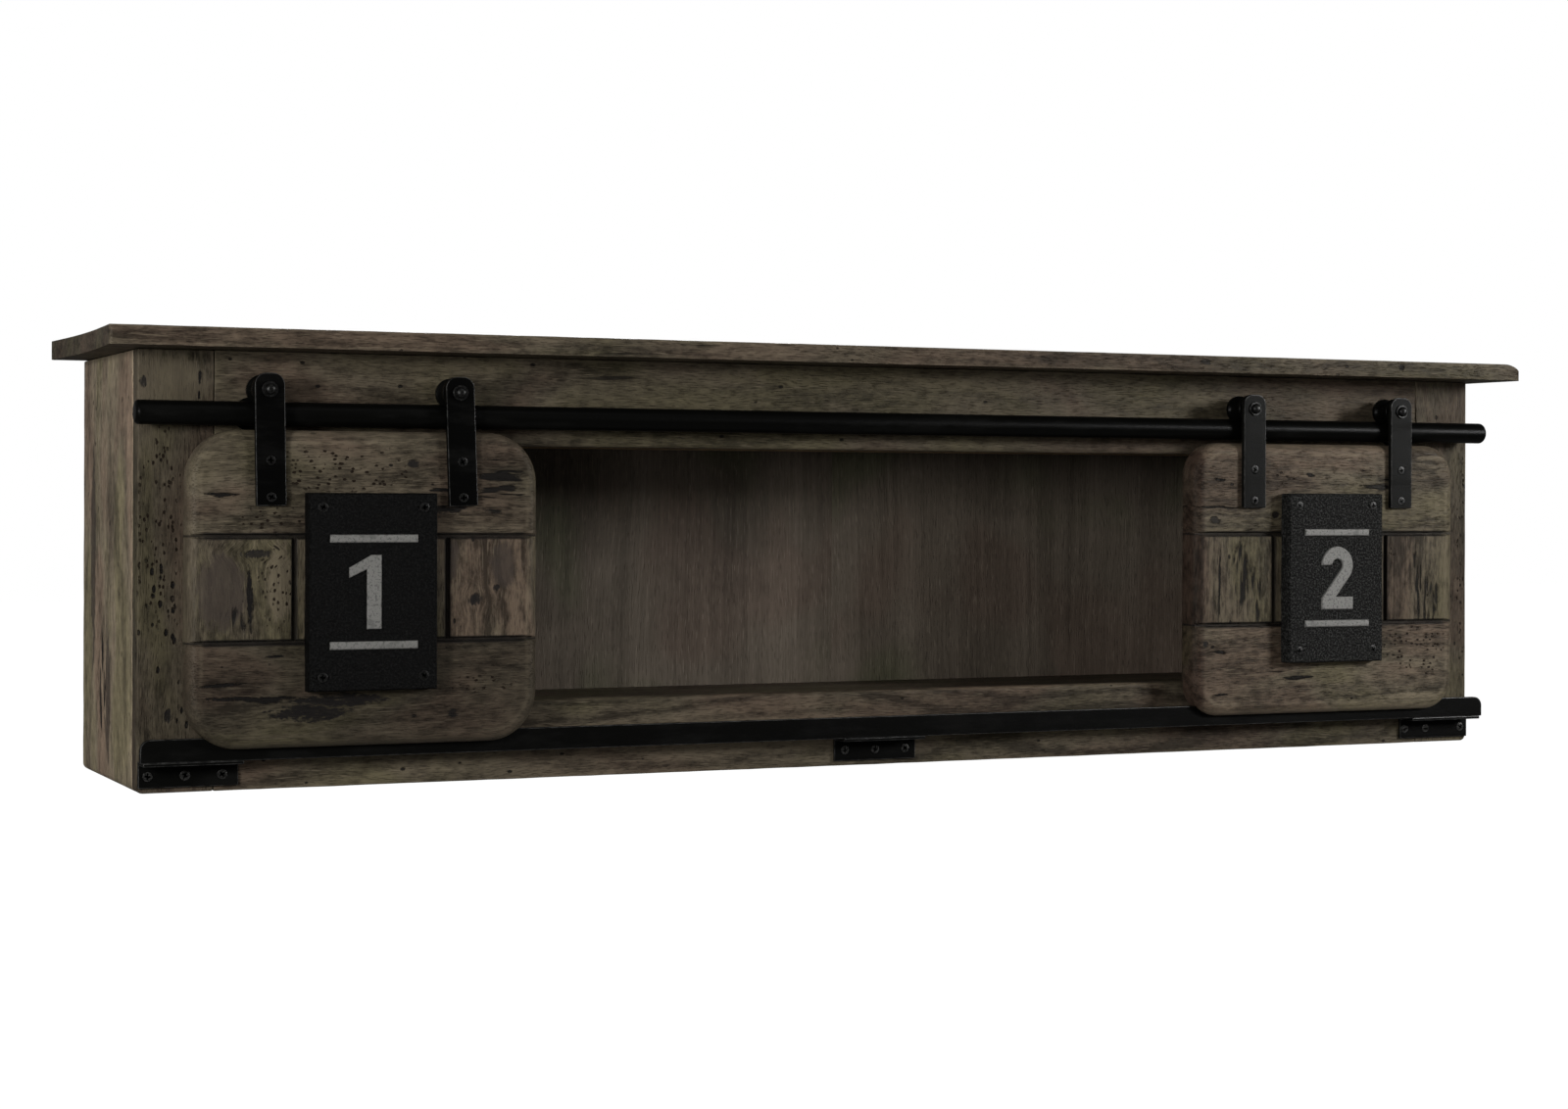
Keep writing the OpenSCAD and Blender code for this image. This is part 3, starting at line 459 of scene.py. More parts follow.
def marked(finish, axes, board, cut, noises, colour, height):
    """Adds a board's own marks, and a few stray holes and cracks anywhere, to its colour and height."""
    along, across, into = cut
    coarse, fine, quick, fibres = noises
    straight = finish.joined(along, across, into).shifted(board.offset)
    colours = bpy.context.scene.shelf_colours
    pale = spots(axes, board, "pale", coarse)
    if pale:
        colour = finish.mix(pale * 0.55, colour, tinted(colours.light_wood, board.light * 1.35))
    # The shade kind is painted shade: it darkens the colour where little light falls
    shade = spots(axes, board, "shade", fine * 0.2)
    if shade:
        colour = finish.mix(shade, colour, (0.50, 0.45, 0.46), "MULTIPLY")
    smoke = spots(axes, board, "smoke", coarse)
    if smoke:
        colour = finish.mix(smoke * 0.78, colour, tinted(colours.dark_wood, 1.25, 1.2, 1.45))
    stain = spots(axes, board, "stain", coarse + fine)
    if stain:
        colour = finish.mix(stain * (1.0 + fibres * 1.2), colour, tinted(colours.rot, 1.3))
    knot = spots(axes, board, "knot", fine)
    if knot:
        colour = finish.mix(knot * (0.9 + fibres), colour, tinted(colours.rot, 2.0))
        height = height - knot * 0.8
    streak = spots(axes, board, "streaks", coarse)
    if streak:
        strokes = finish.noise(straight.scaled((20.0, 170.0, 120.0)), detail=2.0, rough=0.6).step(0.50, 0.56)
        streak = streak * strokes
        colour = finish.mix(streak * 0.98, colour, colours.rot)
        height = height - streak * 1.6
    crack = spots(axes, board, "crack", fine, quick * 0.012)
    if crack:
        colour = finish.mix(crack, colour, colours.rot)
        height = height - crack * 2.5
    worms = spots(axes, board, "worms", coarse)
    if worms:
        wide = finish.joined(along + coarse * 0.0010, across + fine * 0.0008, into)
        wide = wide.scaled((92.0, 165.0, 165.0))
        holes = finish.cells(wide).step(0.34, 0.24) * finish.cells(wide, "Color").step(0.42, 0.50) * worms
        colour = finish.mix(holes, colour, colours.rot)
        height = height - holes * 3.0
    pits = spots(axes, board, "pits", coarse)
    if pits:
        small = finish.joined(along + fine * 0.0006, across + coarse * 0.0006, into)
        small = small.scaled((190.0, 290.0, 290.0))
        kept = finish.cells(small, "Color").step(0.46, 0.50)
        holes = finish.cells(small).step(0.37, 0.25) * kept * pits
        colour = finish.mix(holes, colour, tinted(colours.rot, 2.2, 1.5, 0.9))
        height = height - holes * 2.0
    stray = finish.cells(straight.scaled((31.0, 52.0, 52.0))).step(0.085, 0.055)
    gash = finish.grain(straight, 7.0, 95.0).step(0.735, 0.77)
    strays = stray.highest(gash * 0.8)
    return finish.mix(strays * 0.9, colour, colours.rot), height - strays * 1.5


def ribbon_veneer(name, seed):
    """Stained veneer with upright ribbons of lighter and darker grain."""
    colours = bpy.context.scene.shelf_colours
    finish = Finish(name, IOR=1.4, Specular_IOR_Level=0.12)
    place = finish.place().shifted((seed, 0.0, seed * 0.7))
    x, y, z = finish.parts(place)
    sway = (finish.noise(place.scaled((5.0, 1.0, 2.2)), detail=2.0) - 0.5) * 0.03
    upright = finish.joined(x + sway, y, z)
    ribbons = finish.noise(upright.scaled((24.0, 1.0, 0.9)), detail=3.0, rough=0.6) - 0.5
    stripes = finish.noise(upright.scaled((150.0, 1.0, 2.5)), detail=2.0) - 0.5
    fibres = finish.noise(upright.scaled((560.0, 1.0, 16.0)), detail=3.0, rough=0.7) - 0.5
    clouds = finish.noise(place.scaled((9.0, 1.0, 9.0)), detail=4.0, rough=0.6, warp=0.8) - 0.5
    tone = ribbons * 1.15 + stripes * 0.6 + fibres * 0.8 + clouds * 0.8 + 0.39
    colour = finish.mix(tone, colours.dark_veneer, colours.light_veneer)
    hue = finish.noise(place.shifted((3.0, 0.0, 8.0)).scaled((6.0, 1.0, 4.5)), detail=2.0)
    colour = finish.mix(hue.step(0.52, 0.64) * 0.8, colour, (0.80, 0.96, 0.76), "MULTIPLY")
    colour = finish.mix(hue.step(0.48, 0.38) * 0.6, colour, (1.0, 0.88, 0.88), "MULTIPLY")
    dashes = finish.noise(upright.scaled((900.0, 1.0, 85.0)), detail=1.0).step(0.58, 0.70)
    colour = finish.mix(dashes * 0.5, colour, (0.5, 0.48, 0.48), "MULTIPLY")
    glint = finish.noise(upright.scaled((700.0, 1.0, 60.0)), detail=1.0).step(0.60, 0.72)
    colour = finish.mix(glint * 0.30, colour, tinted(colours.light_veneer, 1.5))
    return finish.dress(colour, 0.6 + fibres * 0.2, fibres - dashes, 0.0003)


def black_steel(name, gloss=0.42, tone=1.0):
    """Blackened steel, worn thin along its length, with faint draw marks."""
    colours = bpy.context.scene.shelf_colours
    finish = Finish(name, Specular_IOR_Level=0.035)
    place = finish.place()
    wear = finish.grain(place, 14.0, 60.0, detail=4.0, rough=0.65).step(0.46, 0.74)
    grit = finish.noise(place, scale=900.0, detail=2.0)
    colour = finish.mix(wear * 0.035, tinted(colours.steel, tone), colours.bare_steel)
    return finish.dress(colour, gloss + wear * 0.18 + grit * 0.10, grit + wear * 0.6, 0.00012)


def worn_and_highlit_rim(name):
    """The filed edges of the steel, rubbed bright where hands and doors pass, and drawn lighter as a painted
    highlight along the edges.
    """
    colours = bpy.context.scene.shelf_colours
    finish = Finish(name, Metallic=0.5)
    wear = finish.noise(finish.place(), scale=140.0, detail=4.0, rough=0.7).step(0.35, 0.68)
    colour = finish.mix(wear * 0.7, colours.steel, colours.bare_steel)
    return finish.dress(colour, 0.34 + wear * 0.2, wear, 0.0001)


def worn_head(name, bright=1.0):
    """Blackened screws and bolts whose heads have rubbed bright."""
    colours = bpy.context.scene.shelf_colours
    finish = Finish(name, Metallic=0.7)
    grit = finish.noise(finish.place(), scale=900.0, detail=3.0)
    colour = finish.mix(grit.step(0.35, 0.65), tinted(colours.steel, 2.0 * bright),
                        tinted(colours.bare_steel, bright))
    return finish.dress(colour, 0.30 + grit * 0.2, grit, 0.0001)


def rough_casting(name, tone):
    """Black paint on a sand casting."""
    colours = bpy.context.scene.shelf_colours
    finish = Finish(name, Specular_IOR_Level=0.05)
    place = finish.place()
    sand = finish.noise(place, scale=520.0, detail=3.0, rough=0.7)
    lumps = finish.noise(place, scale=110.0, detail=3.0)
    colour = finish.mix(sand.step(0.46, 0.64), tinted(colours.casting, tone * 0.3),
                        tinted(colours.casting, tone * 4.6))
    colour = finish.mix(lumps.step(0.5, 0.7) * 0.35, colour, tinted(colours.casting, tone * 1.4))
    return finish.dress(colour, 0.45 + sand * 0.25, sand * 1.3 + lumps * 0.8, 0.0014)


def rubbed_casting(name):
    """The raised parts of a casting, rubbed bright but dark in the pits."""
    colours = bpy.context.scene.shelf_colours
    finish = Finish(name, Metallic=0.25)
    place = finish.place()
    pits = finish.noise(place, scale=420.0, detail=3.0, rough=0.7)
    patches = finish.noise(place, scale=90.0, detail=2.0)
    dull = pits.step(0.50, 0.64).highest(patches.step(0.56, 0.70) * 0.6)
    colour = finish.mix(dull * 0.8, colours.rubbed, tinted(colours.casting, 5.0))
    return finish.dress(colour, 0.45 + pits * 0.25, 1 - pits, 0.0006)


def sawn_wood(name):
    """Untreated sawn wood of hidden rails and blocks."""
    colours = bpy.context.scene.shelf_colours
    finish = Finish(name)
    saw = finish.grain(finish.place(), 30.0, 200.0, detail=3.0)
    colour = finish.mix(saw.step(0.3, 0.75), colours.plain_wood, tinted(colours.plain_wood, 0.55))
    return finish.dress(colour, 0.7, saw, 0.0004)


def plated(name, tint, gloss=0.35):
    """Zinc plated steel or sintered bronze."""
    finish = Finish(name, Metallic=1.0)
    grit = finish.noise(finish.place(), scale=700.0, detail=2.0)
    colour = finish.mix(grit * 0.5, tint, tinted(tint, 0.6))
    return finish.dress(colour, gloss + grit * 0.15, grit, 0.00008)


# Shapes


CORNER = 0.6  # radians
TOUCH = 1e-5  # metres


def runs_along(edge, axis):
    a, b = edge.verts
    return abs((b.co - a.co).normalized().dot(axis)) > 0.999


def middle(edge):
    a, b = edge.verts
    return (a.co + b.co) / 2


def is_corner(edge):
    """Whether two faces meet at the edge at more than the angle CORNER, in radians."""
    return edge.is_manifold and edge.calc_face_angle() > CORNER


def round_edges(bm, radius, segments, chosen, material=-1):
    """Rounds the edges that are chosen and gives the rounding a material of its own where told."""
    edges = [edge for edge in bm.edges if chosen(edge)]
    bmesh.ops.bevel(bm, geom=edges, offset=radius, offset_type="OFFSET", segments=segments, profile=0.5,
                    affect="EDGES", clamp_overlap=True, material=material)


def block(span):
    bm = bmesh.new()
    bmesh.ops.create_cube(bm, size=1, matrix=span.cube())
    return bm


def slice_up(bm, axis, low, high, step):
    """Cuts a mesh across an axis every step, so that its edges can wander."""
    count = max(1, round((high - low) / step))
    for k in range(1, count):
        point = axis * (low + (high - low) * k / count)
        split(bm, point, axis)


def wander(bm, span, depth, seed, scale=38.0):
    """Draws the edges of a mesh in towards its room's middle by an even noise, and leaves its faces flat."""
    reach, thin = 0.004, 0.012
    for vert in bm.verts:
        off = vert.co - span.mid
        near = [max(0.0, 1 - abs(abs(off[i]) - span.size[i] / 2) / reach) if span.size[i] > thin else 0.0
                for i in range(3)]
        for i in range(3):
            amount = 0.5 + 0.5 * noise.noise(vert.co * scale + Vector((seed, i * 7.3, seed * 0.5)))
            beside = max(near[k] for k in range(3) if k != i)
            vert.co[i] -= math.copysign(amount * depth * near[i] * beside, off[i])


def turned(points, axis_point, axis, segments):
    """Turns a profile of (along the axis, radius) points about an axis."""
    across = Z if abs(axis.z) < 0.5 else X
    bm = bmesh.new()
    verts = [bm.verts.new(axis_point + axis * t + across * r) for t, r in points]
    edges = [bm.edges.new(pair) for pair in zip(verts, verts[1:])]
    bmesh.ops.spin(bm, geom=verts + edges, cent=axis_point, axis=axis, dvec=(0, 0, 0), angle=math.tau,
                   steps=segments, use_merge=True, use_duplicate=False)
    bmesh.ops.remove_doubles(bm, verts=bm.verts, dist=1e-7)
    return bm


def arc(centre, radius, start, stop, count):
    """Points on an arc, by angles in degrees."""
    return [(centre[0] + radius * math.cos(math.radians(start + (stop - start) * k / count)),
             centre[1] + radius * math.sin(math.radians(start + (stop - start) * k / count)))
            for k in range(count + 1)]


def gathered(meshes):
    """Joins meshes into one."""
    target = bmesh.new()
    for bm in meshes:
        spare = bpy.data.meshes.new("spare")
        bm.to_mesh(spare)
        bm.free()
        target.from_mesh(spare)
        bpy.data.meshes.remove(spare)
    return target


def split(bm, point, axis, drop=False):
    """Cuts a mesh by a plane, drops what lies beyond it where told, and returns the edges of the cut."""
    geom = bm.verts[:] + bm.edges[:] + bm.faces[:]
    made = bmesh.ops.bisect_plane(bm, geom=geom, plane_co=point, plane_no=axis, dist=1e-6, clear_outer=drop)
    return [item for item in made["geom_cut"] if isinstance(item, bmesh.types.BMEdge)]


def fresh_verts(made):
    return [item for item in made["geom"] if isinstance(item, bmesh.types.BMVert)]


def drawn_out(points, path):
    """Makes a flat outline and draws it out to a solid along a vector."""
    bm = bmesh.new()
    face = bm.faces.new([bm.verts.new(point) for point in points])
    grown = bmesh.ops.extrude_face_region(bm, geom=[face])
    bmesh.ops.translate(bm, vec=path, verts=fresh_verts(grown))
    return bm


def countersink(bm, centre, radius):
    """Sinks a cone for a screw's head into a flat face that looks towards -Y."""
    half = radius * 1.3
    for axis in (X, Z):
        for side in (-1, 1):
            split(bm, centre + axis * side * half, axis)
    inside = []
    for face in bm.faces:
        off = face.calc_center_median() - centre
        if abs(off.y) < TOUCH and abs(off.x) < half and abs(off.z) < half:
            inside.append(face)
    bmesh.ops.delete(bm, geom=inside, context="FACES")
    rim = [edge for edge in bm.edges if edge.is_boundary]
    place = Matrix.Translation(centre) @ Matrix.Rotation(math.radians(90), 4, "X")
    ring = bmesh.ops.create_circle(bm, cap_ends=False, segments=24, radius=radius, matrix=place)["verts"]
    loop = list({edge for vert in ring for edge in vert.link_edges})
    bmesh.ops.bridge_loops(bm, edges=rim + loop)
    grown = bmesh.ops.extrude_edge_only(bm, edges=loop)
    for vert in fresh_verts(grown):
        vert.co = centre + (vert.co - centre) * 0.5 + Y * radius * 0.5
    bottom = set(fresh_verts(grown))
    bmesh.ops.contextual_create(bm, geom=[edge for edge in bm.edges if set(edge.verts) <= bottom])


def linked(name, data, place=Matrix()):
    """Adds an object to the scene."""
    made = bpy.data.objects.new(name, data)
    made.matrix_world = place
    bpy.context.scene.collection.objects.link(made)
    return made


def set_piece(name, bm, finishes, node, replaces=True):
    """Makes an object of a mesh, with its finishes and on a node's body, and hides the node in its place
    where told.
    """
    bmesh.ops.recalc_face_normals(bm, faces=bm.faces)
    for face in bm.faces:
        face.smooth = True
    mesh = bpy.data.meshes.new(name)
    bm.to_mesh(mesh)
    bm.free()
    mesh.set_sharp_from_angle(angle=math.radians(38))
    made = linked(name, mesh)
    for finish in finishes:
        mesh.materials.append(finish)
    made.modifiers.new("Flat faces stay flat", "WEIGHTED_NORMAL").keep_sharp = True
    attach(made, BODY_OF[node])
    if replaces:
        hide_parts(node)


def dress_node(node, finish):
    """Gives a node of the frame its finish."""
    materials = frame["nodes"][node].data.materials
    materials.clear()
    materials.append(finish)


# The box


BOARDS = {
    "top_board": Board("XYZ", seed=1.3, heart=-0.05, deep=0.06, arch=0.03, light=0.95, marks=[
        ("knot", 0.575, 0.3905, 0.004, 0.003), ("knot", 0.338, 0.3905, 0.006, 0.003)]),
    "header_rail": Board("XZY", seed=2.1, heart=0.33, deep=0.16, arch=0.02, light=0.86, contrast=0.9, marks=[
        ("knot", 0.415, 0.333, 0.005, 0.005)]),
    "sill_rail": Board("XZY", seed=4.4, heart=0.03, deep=0.10, arch=0.05, spacing=0.012, light=0.96,
                       contrast=0.9, figure=3.0),
    "stile_left": Board("ZXY", seed=5.2, heart=-0.69, deep=0.12, light=0.62, marks=[
        ("worms", -0.682, 0.150, 0.020, 0.060), ("pits", -0.680, 0.220, 0.024, 0.075),
        ("pale", -0.680, 0.350, 0.045, 0.030), ("pits", -0.683, 0.292, 0.012, 0.03),
        ("knot", -0.695, 0.352, 0.003, 0.005), ("crack", -0.646, 0.356, 0.0018, 0.006),
        ("crack", -0.646, 0.341, 0.0015, 0.004), ("knot", -0.673, 0.066, 0.003, 0.006),
        ("worms", -0.665, 0.090, 0.02, 0.04)]),
    "stile_right": Board("ZXY", seed=6.7, heart=0.66, deep=0.12, light=0.95, contrast=0.8, marks=[
        ("pits", 0.694, 0.190, 0.009, 0.11)]),
    # The left side panel is drawn far paler than its twin on the right: painted light, added to the left
    # lamp, for the strong light from the left
    "side_panel_left": Board("ZYX", face="YZ", seed=7.9, heart=0.02, deep=0.75, light=2.7,
                             contrast=0.9, marks=[
        ("smoke", 0.03, 0.075, 0.012, 0.06), ("streaks", 0.055, 0.10, 0.02, 0.06),
        ("smoke", 0.10, 0.20, 0.012, 0.10)]),
    "side_panel_right": Board("ZYX", face="YZ", seed=8.4, heart=0.05, deep=-0.40, light=0.95),
    "floor_panel": Board("XYZ", seed=9.6, heart=0.03, deep=0.06, light=0.75),
}


def worn_board(node, bm, axis, step=0.016):
    """Slices a board along its length, lets its edges wander and sets it in place."""
    span = room(node)
    i = (X, Y, Z).index(axis)
    end, rim, thin = 0.01, 0.005, 0.012
    slice_up(bm, axis, span.low[i] + end, span.high[i] - end, step)
    for k, other in enumerate((X, Y, Z)):
        if k != i and span.size[k] > thin:
            split(bm, other * (span.low[k] + rim), other)
            split(bm, other * (span.high[k] - rim), other)
    wander(bm, span, bpy.context.scene.shelf_sizes.edge_wave, BOARDS[node].seed)
    set_piece(f"{node}_worn", bm, [smoked_wood(f"{node}_wood", BOARDS[node], span)], node)


class SHELF_OT_top_board(bpy.types.Operator):
    """Makes the top board with its hollow ends and its worn front corner"""
    bl_idname = "shelf.top_board"
    bl_label = "Top board"

    def execute(self, context):
        sizes = context.scene.shelf_sizes
        span = room("top_board")
        bm = drawn_out([(x, y, span.low.z) for x, y in self.outline(span, sizes)], Z * span.size.z)
        self.wear_corner(bm, span, sizes)
        round_edges(bm, sizes.worn_edge, 2, is_corner)
        worn_board("top_board", bm, X, 0.012)
        return {"FINISHED"}

    def outline(self, span, sizes):
        """The board seen from above. Its right end is the left one turned round."""
        half, deep, hollow = span.size.x / 2, span.size.y / 2, sizes.end_hollow
        middle_y = 0.015  # where the hollow is deepest
        front = deep + middle_y
        radius = (front ** 2 + hollow ** 2) / (2 * hollow)
        wide, narrow = sizes.wide_corner, sizes.narrow_corner

        def end_x(y):
            return hollow - half - radius + math.sqrt(radius ** 2 - (y - middle_y) ** 2)

        left = arc((hollow / 3 - half + wide, deep - wide), wide, 90, 180, 8)
        rows = [(deep - wide) * (1 - k / 10) + (narrow - deep) * k / 10 for k in range(1, 10)]
        left += [(end_x(y), y) for y in rows]
        left += arc((narrow - half, narrow - deep), narrow, 180, 270, 4)
        left = [(max(x, end_x(y)), y) for x, y in left]
        return left + [(-x, -y) for x, y in left]

    def wear_corner(self, bm, span, sizes):
        """Rounds the upper edge down at the right front corner."""
        reach, radius = sizes.worn_reach, sizes.worn_round
        corner = Vector((span.high.x, span.low.y, 0))
        outward = (X - Y).normalized()
        for degrees in range(0, 91, 9):
            across = radius * 0.97 * math.sin(math.radians(degrees))
            split(bm, corner - outward * (reach - across), outward)
        for vert in bm.verts:
            past = (vert.co - corner).dot(outward) + reach
            if past > 0 and vert.co.z > span.mid.z:
                vert.co.z -= radius - math.sqrt(max(0.0, radius ** 2 - past ** 2))


class SHELF_OT_case(bpy.types.Operator):
    """Makes the sides, stiles, header and sill of the box, and finishes its floor and back"""
    bl_idname = "shelf.case"
    bl_label = "Box"

    def execute(self, context):
        sizes = context.scene.shelf_sizes
        for name, side in (("left", -1), ("right", 1)):
            for node in (f"side_panel_{name}", f"stile_{name}"):
                span = room(node)
                bm = block(span)
                outer = span.high.x if side > 0 else span.low.x
                round_edges(bm, sizes.box_corner, 5, lambda edge: runs_along(edge, Y) and
                            abs(middle(edge).x - outer) < TOUCH and middle(edge).z < TOUCH)
                round_edges(bm, sizes.worn_edge, 2, is_corner)
                worn_board(node, bm, Z)
        header_z, sill_z = room("header_rail").low.z, room("sill_rail").high.z
        for node, niche_z in (("header_rail", header_z), ("sill_rail", sill_z)):
            span = room(node)
            bm = block(span)
            round_edges(bm, sizes.eased, 4, lambda edge: runs_along(edge, X) and
                        abs(middle(edge).z - niche_z) < TOUCH and middle(edge).y < span.mid.y)
            round_edges(bm, sizes.worn_edge * 0.5, 2, is_corner)
            worn_board(node, bm, X)
        dress_node("floor_panel", smoked_wood("floor_panel_wood", BOARDS["floor_panel"]))
        dress_node("back_panel_left", ribbon_veneer("left_veneer", 10.3))
        dress_node("back_panel_right", ribbon_veneer("right_veneer", 11.8))
        return {"FINISHED"}


class SHELF_OT_hidden_parts(bpy.types.Operator):
    """Finishes rails, blocks, dowels, screws and bushes that hardly show"""
    bl_idname = "shelf.hidden_parts"
    bl_label = "Hidden parts"

    def execute(self, context):
        finishes = {"plain_wood": sawn_wood("sawn_wood"), "zinc_screws": plated("zinc", (0.55, 0.54, 0.50)),
                    "bronze_bush": plated("bronze", (0.45, 0.28, 0.12), 0.5)}
        for node, slot in SLOT_OF.items():
            if slot in finishes:
                dress_node(node, finishes[slot])
        return {"FINISHED"}


# The steel


class SHELF_OT_rod(bpy.types.Operator):
    """Makes the rod and its two standoffs"""
    bl_idname = "shelf.rod"
    bl_label = "Rod"

    def execute(self, context):
        steel = black_steel("rod_steel", 0.28)
        span = room("track_rod")
        r, ease = span.size.z / 2, 0.004
        half = span.size.x / 2
        left = arc((-half + ease, r - ease), ease, 180, 90, 5)
        right = arc((half - ease, r - ease), ease, 90, 0, 5)
        profile = [(-half, 0)] + left + [(half * k / 10, r) for k in range(-9, 10)] + right + [(half, 0)]
        set_piece("rod", turned(profile, span.mid, X, 48), [steel], "track_rod")
        set_piece("rod_feet", gathered(self.foot(foot) for foot in solids("rod_standoffs")), [steel],
                  "rod_standoffs")
        return {"FINISHED"}

    def foot(self, span):
        """A standoff: a stem that opens out into a round foot."""
        stem, foot, thick, fillet, ease = 0.006, span.size.x / 2, 0.003, 0.001, 0.0008
        deep = span.size.y
        seat = deep - thick
        points = [(0.0, 0.0), (0.0, stem), (seat - fillet, stem), (seat, stem + fillet)]
        points += [(seat, foot - ease), (seat + ease, foot), (deep, foot), (deep, 0.0)]
        return turned(points, span.front, Y, 40)


def screw_head(centre, radius, turn):
    """A countersunk head with a cross, flush with the plane that it looks out of towards -Y."""
    arm, half_slot, flat = radius * 0.58, radius * 0.13, 0.86
    bm = bmesh.new()
    bmesh.ops.create_grid(bm, x_segments=3, y_segments=3, size=arm)
    for vert in bm.verts:
        for i in (0, 1):
            if abs(vert.co[i]) < arm / 2:
                vert.co[i] = math.copysign(half_slot, vert.co[i])
    centres = {face: face.calc_center_median() for face in bm.faces}
    corners = [face for face, place in centres.items() if min(abs(place.x), abs(place.y)) > half_slot]
    bmesh.ops.delete(bm, geom=corners, context="FACES")
    cross = bm.faces[:]
    rim = [edge for edge in bm.edges if edge.is_boundary]
    ring = bmesh.ops.create_circle(bm, cap_ends=False, segments=24, radius=radius * flat)["verts"]
    outer = list({edge for vert in ring for edge in vert.link_edges})
    bmesh.ops.bridge_loops(bm, edges=rim + outer)
    sunk = bmesh.ops.extrude_face_region(bm, geom=cross)
    floor = fresh_verts(sunk)
    bmesh.ops.delete(bm, geom=cross, context="FACES_ONLY")
    for vert in floor:
        vert.co = Vector((vert.co.x * 0.75, vert.co.y * 0.75, -radius * 0.32))
    # The rim falls away to the countersink, and then the head tapers behind it
    skirt = [edge for edge in bm.edges if edge.is_boundary]
    for scale, depth in ((1 / flat, -radius * 0.06), (0.62, -radius * 0.5)):
        grown = bmesh.ops.extrude_edge_only(bm, edges=skirt)
        for vert in fresh_verts(grown):
            vert.co = Vector((vert.co.x * scale, vert.co.y * scale, depth))
        skirt = [item for item in grown["geom"] if isinstance(item, bmesh.types.BMEdge)]
    bmesh.ops.contextual_create(bm, geom=skirt)
    bm.transform(Matrix.Translation(centre) @ Matrix.Rotation(math.radians(90), 4, "X") @
                 Matrix.Rotation(turn, 4, "Z"))
    return bm


def screw_heads(name, node, finish, proud):
    """Makes the heads of a node's screws, a little smaller than their countersinks, each with its turn."""
    share, turn = 0.92, 1.1
    heads = [screw_head(screw.front - Y * proud, screw.size.x / 2 * share, k * turn)
             for k, screw in enumerate(solids(node))]
    set_piece(name, gathered(heads), [finish], node)


class SHELF_OT_guide(bpy.types.Operator):
    """Makes the flat guide rail and its three brackets"""
    bl_idname = "shelf.guide"
    bl_label = "Guide rail"

    def execute(self, context):
        sizes = context.scene.shelf_sizes
        steel, rim = black_steel("rail_steel", 0.36), worn_and_highlit_rim("rail_rim")
        span = room("guide_rail")
        bm = block(span)
        round_edges(bm, sizes.rail_corner, 8,
                    lambda edge: runs_along(edge, Y) and middle(edge).z > span.mid.z)
        round_edges(bm, sizes.steel_edge, 2, is_corner, 1)
        set_piece("rail", bm, [steel, rim], "guide_rail")
        thick = 0.003
        for name in ("left", "centre", "right"):
            span = room(f"rail_bracket_{name}")
            low, high = span.low, span.high
            outline = [(low.y, high.z), (high.y, high.z), (high.y, low.z), (high.y - thick, low.z),
                       (high.y - thick, high.z - thick), (low.y, high.z - thick)]
            bm = drawn_out([(low.x, y, z) for y, z in outline], X * span.size.x)
            round_edges(bm, sizes.steel_edge, 2, is_corner, 1)
            for screw in solids("rail_bracket_screws"):
                if low.x < screw.mid.x < high.x:
                    countersink(bm, screw.front, screw.size.x / 2)
            set_piece(f"bracket_{name}", bm, [steel, rim], f"rail_bracket_{name}")
        screw_heads("bracket_screws", "rail_bracket_screws", worn_head("bracket_screw_steel"), 0.0002)
        return {"FINISHED"}
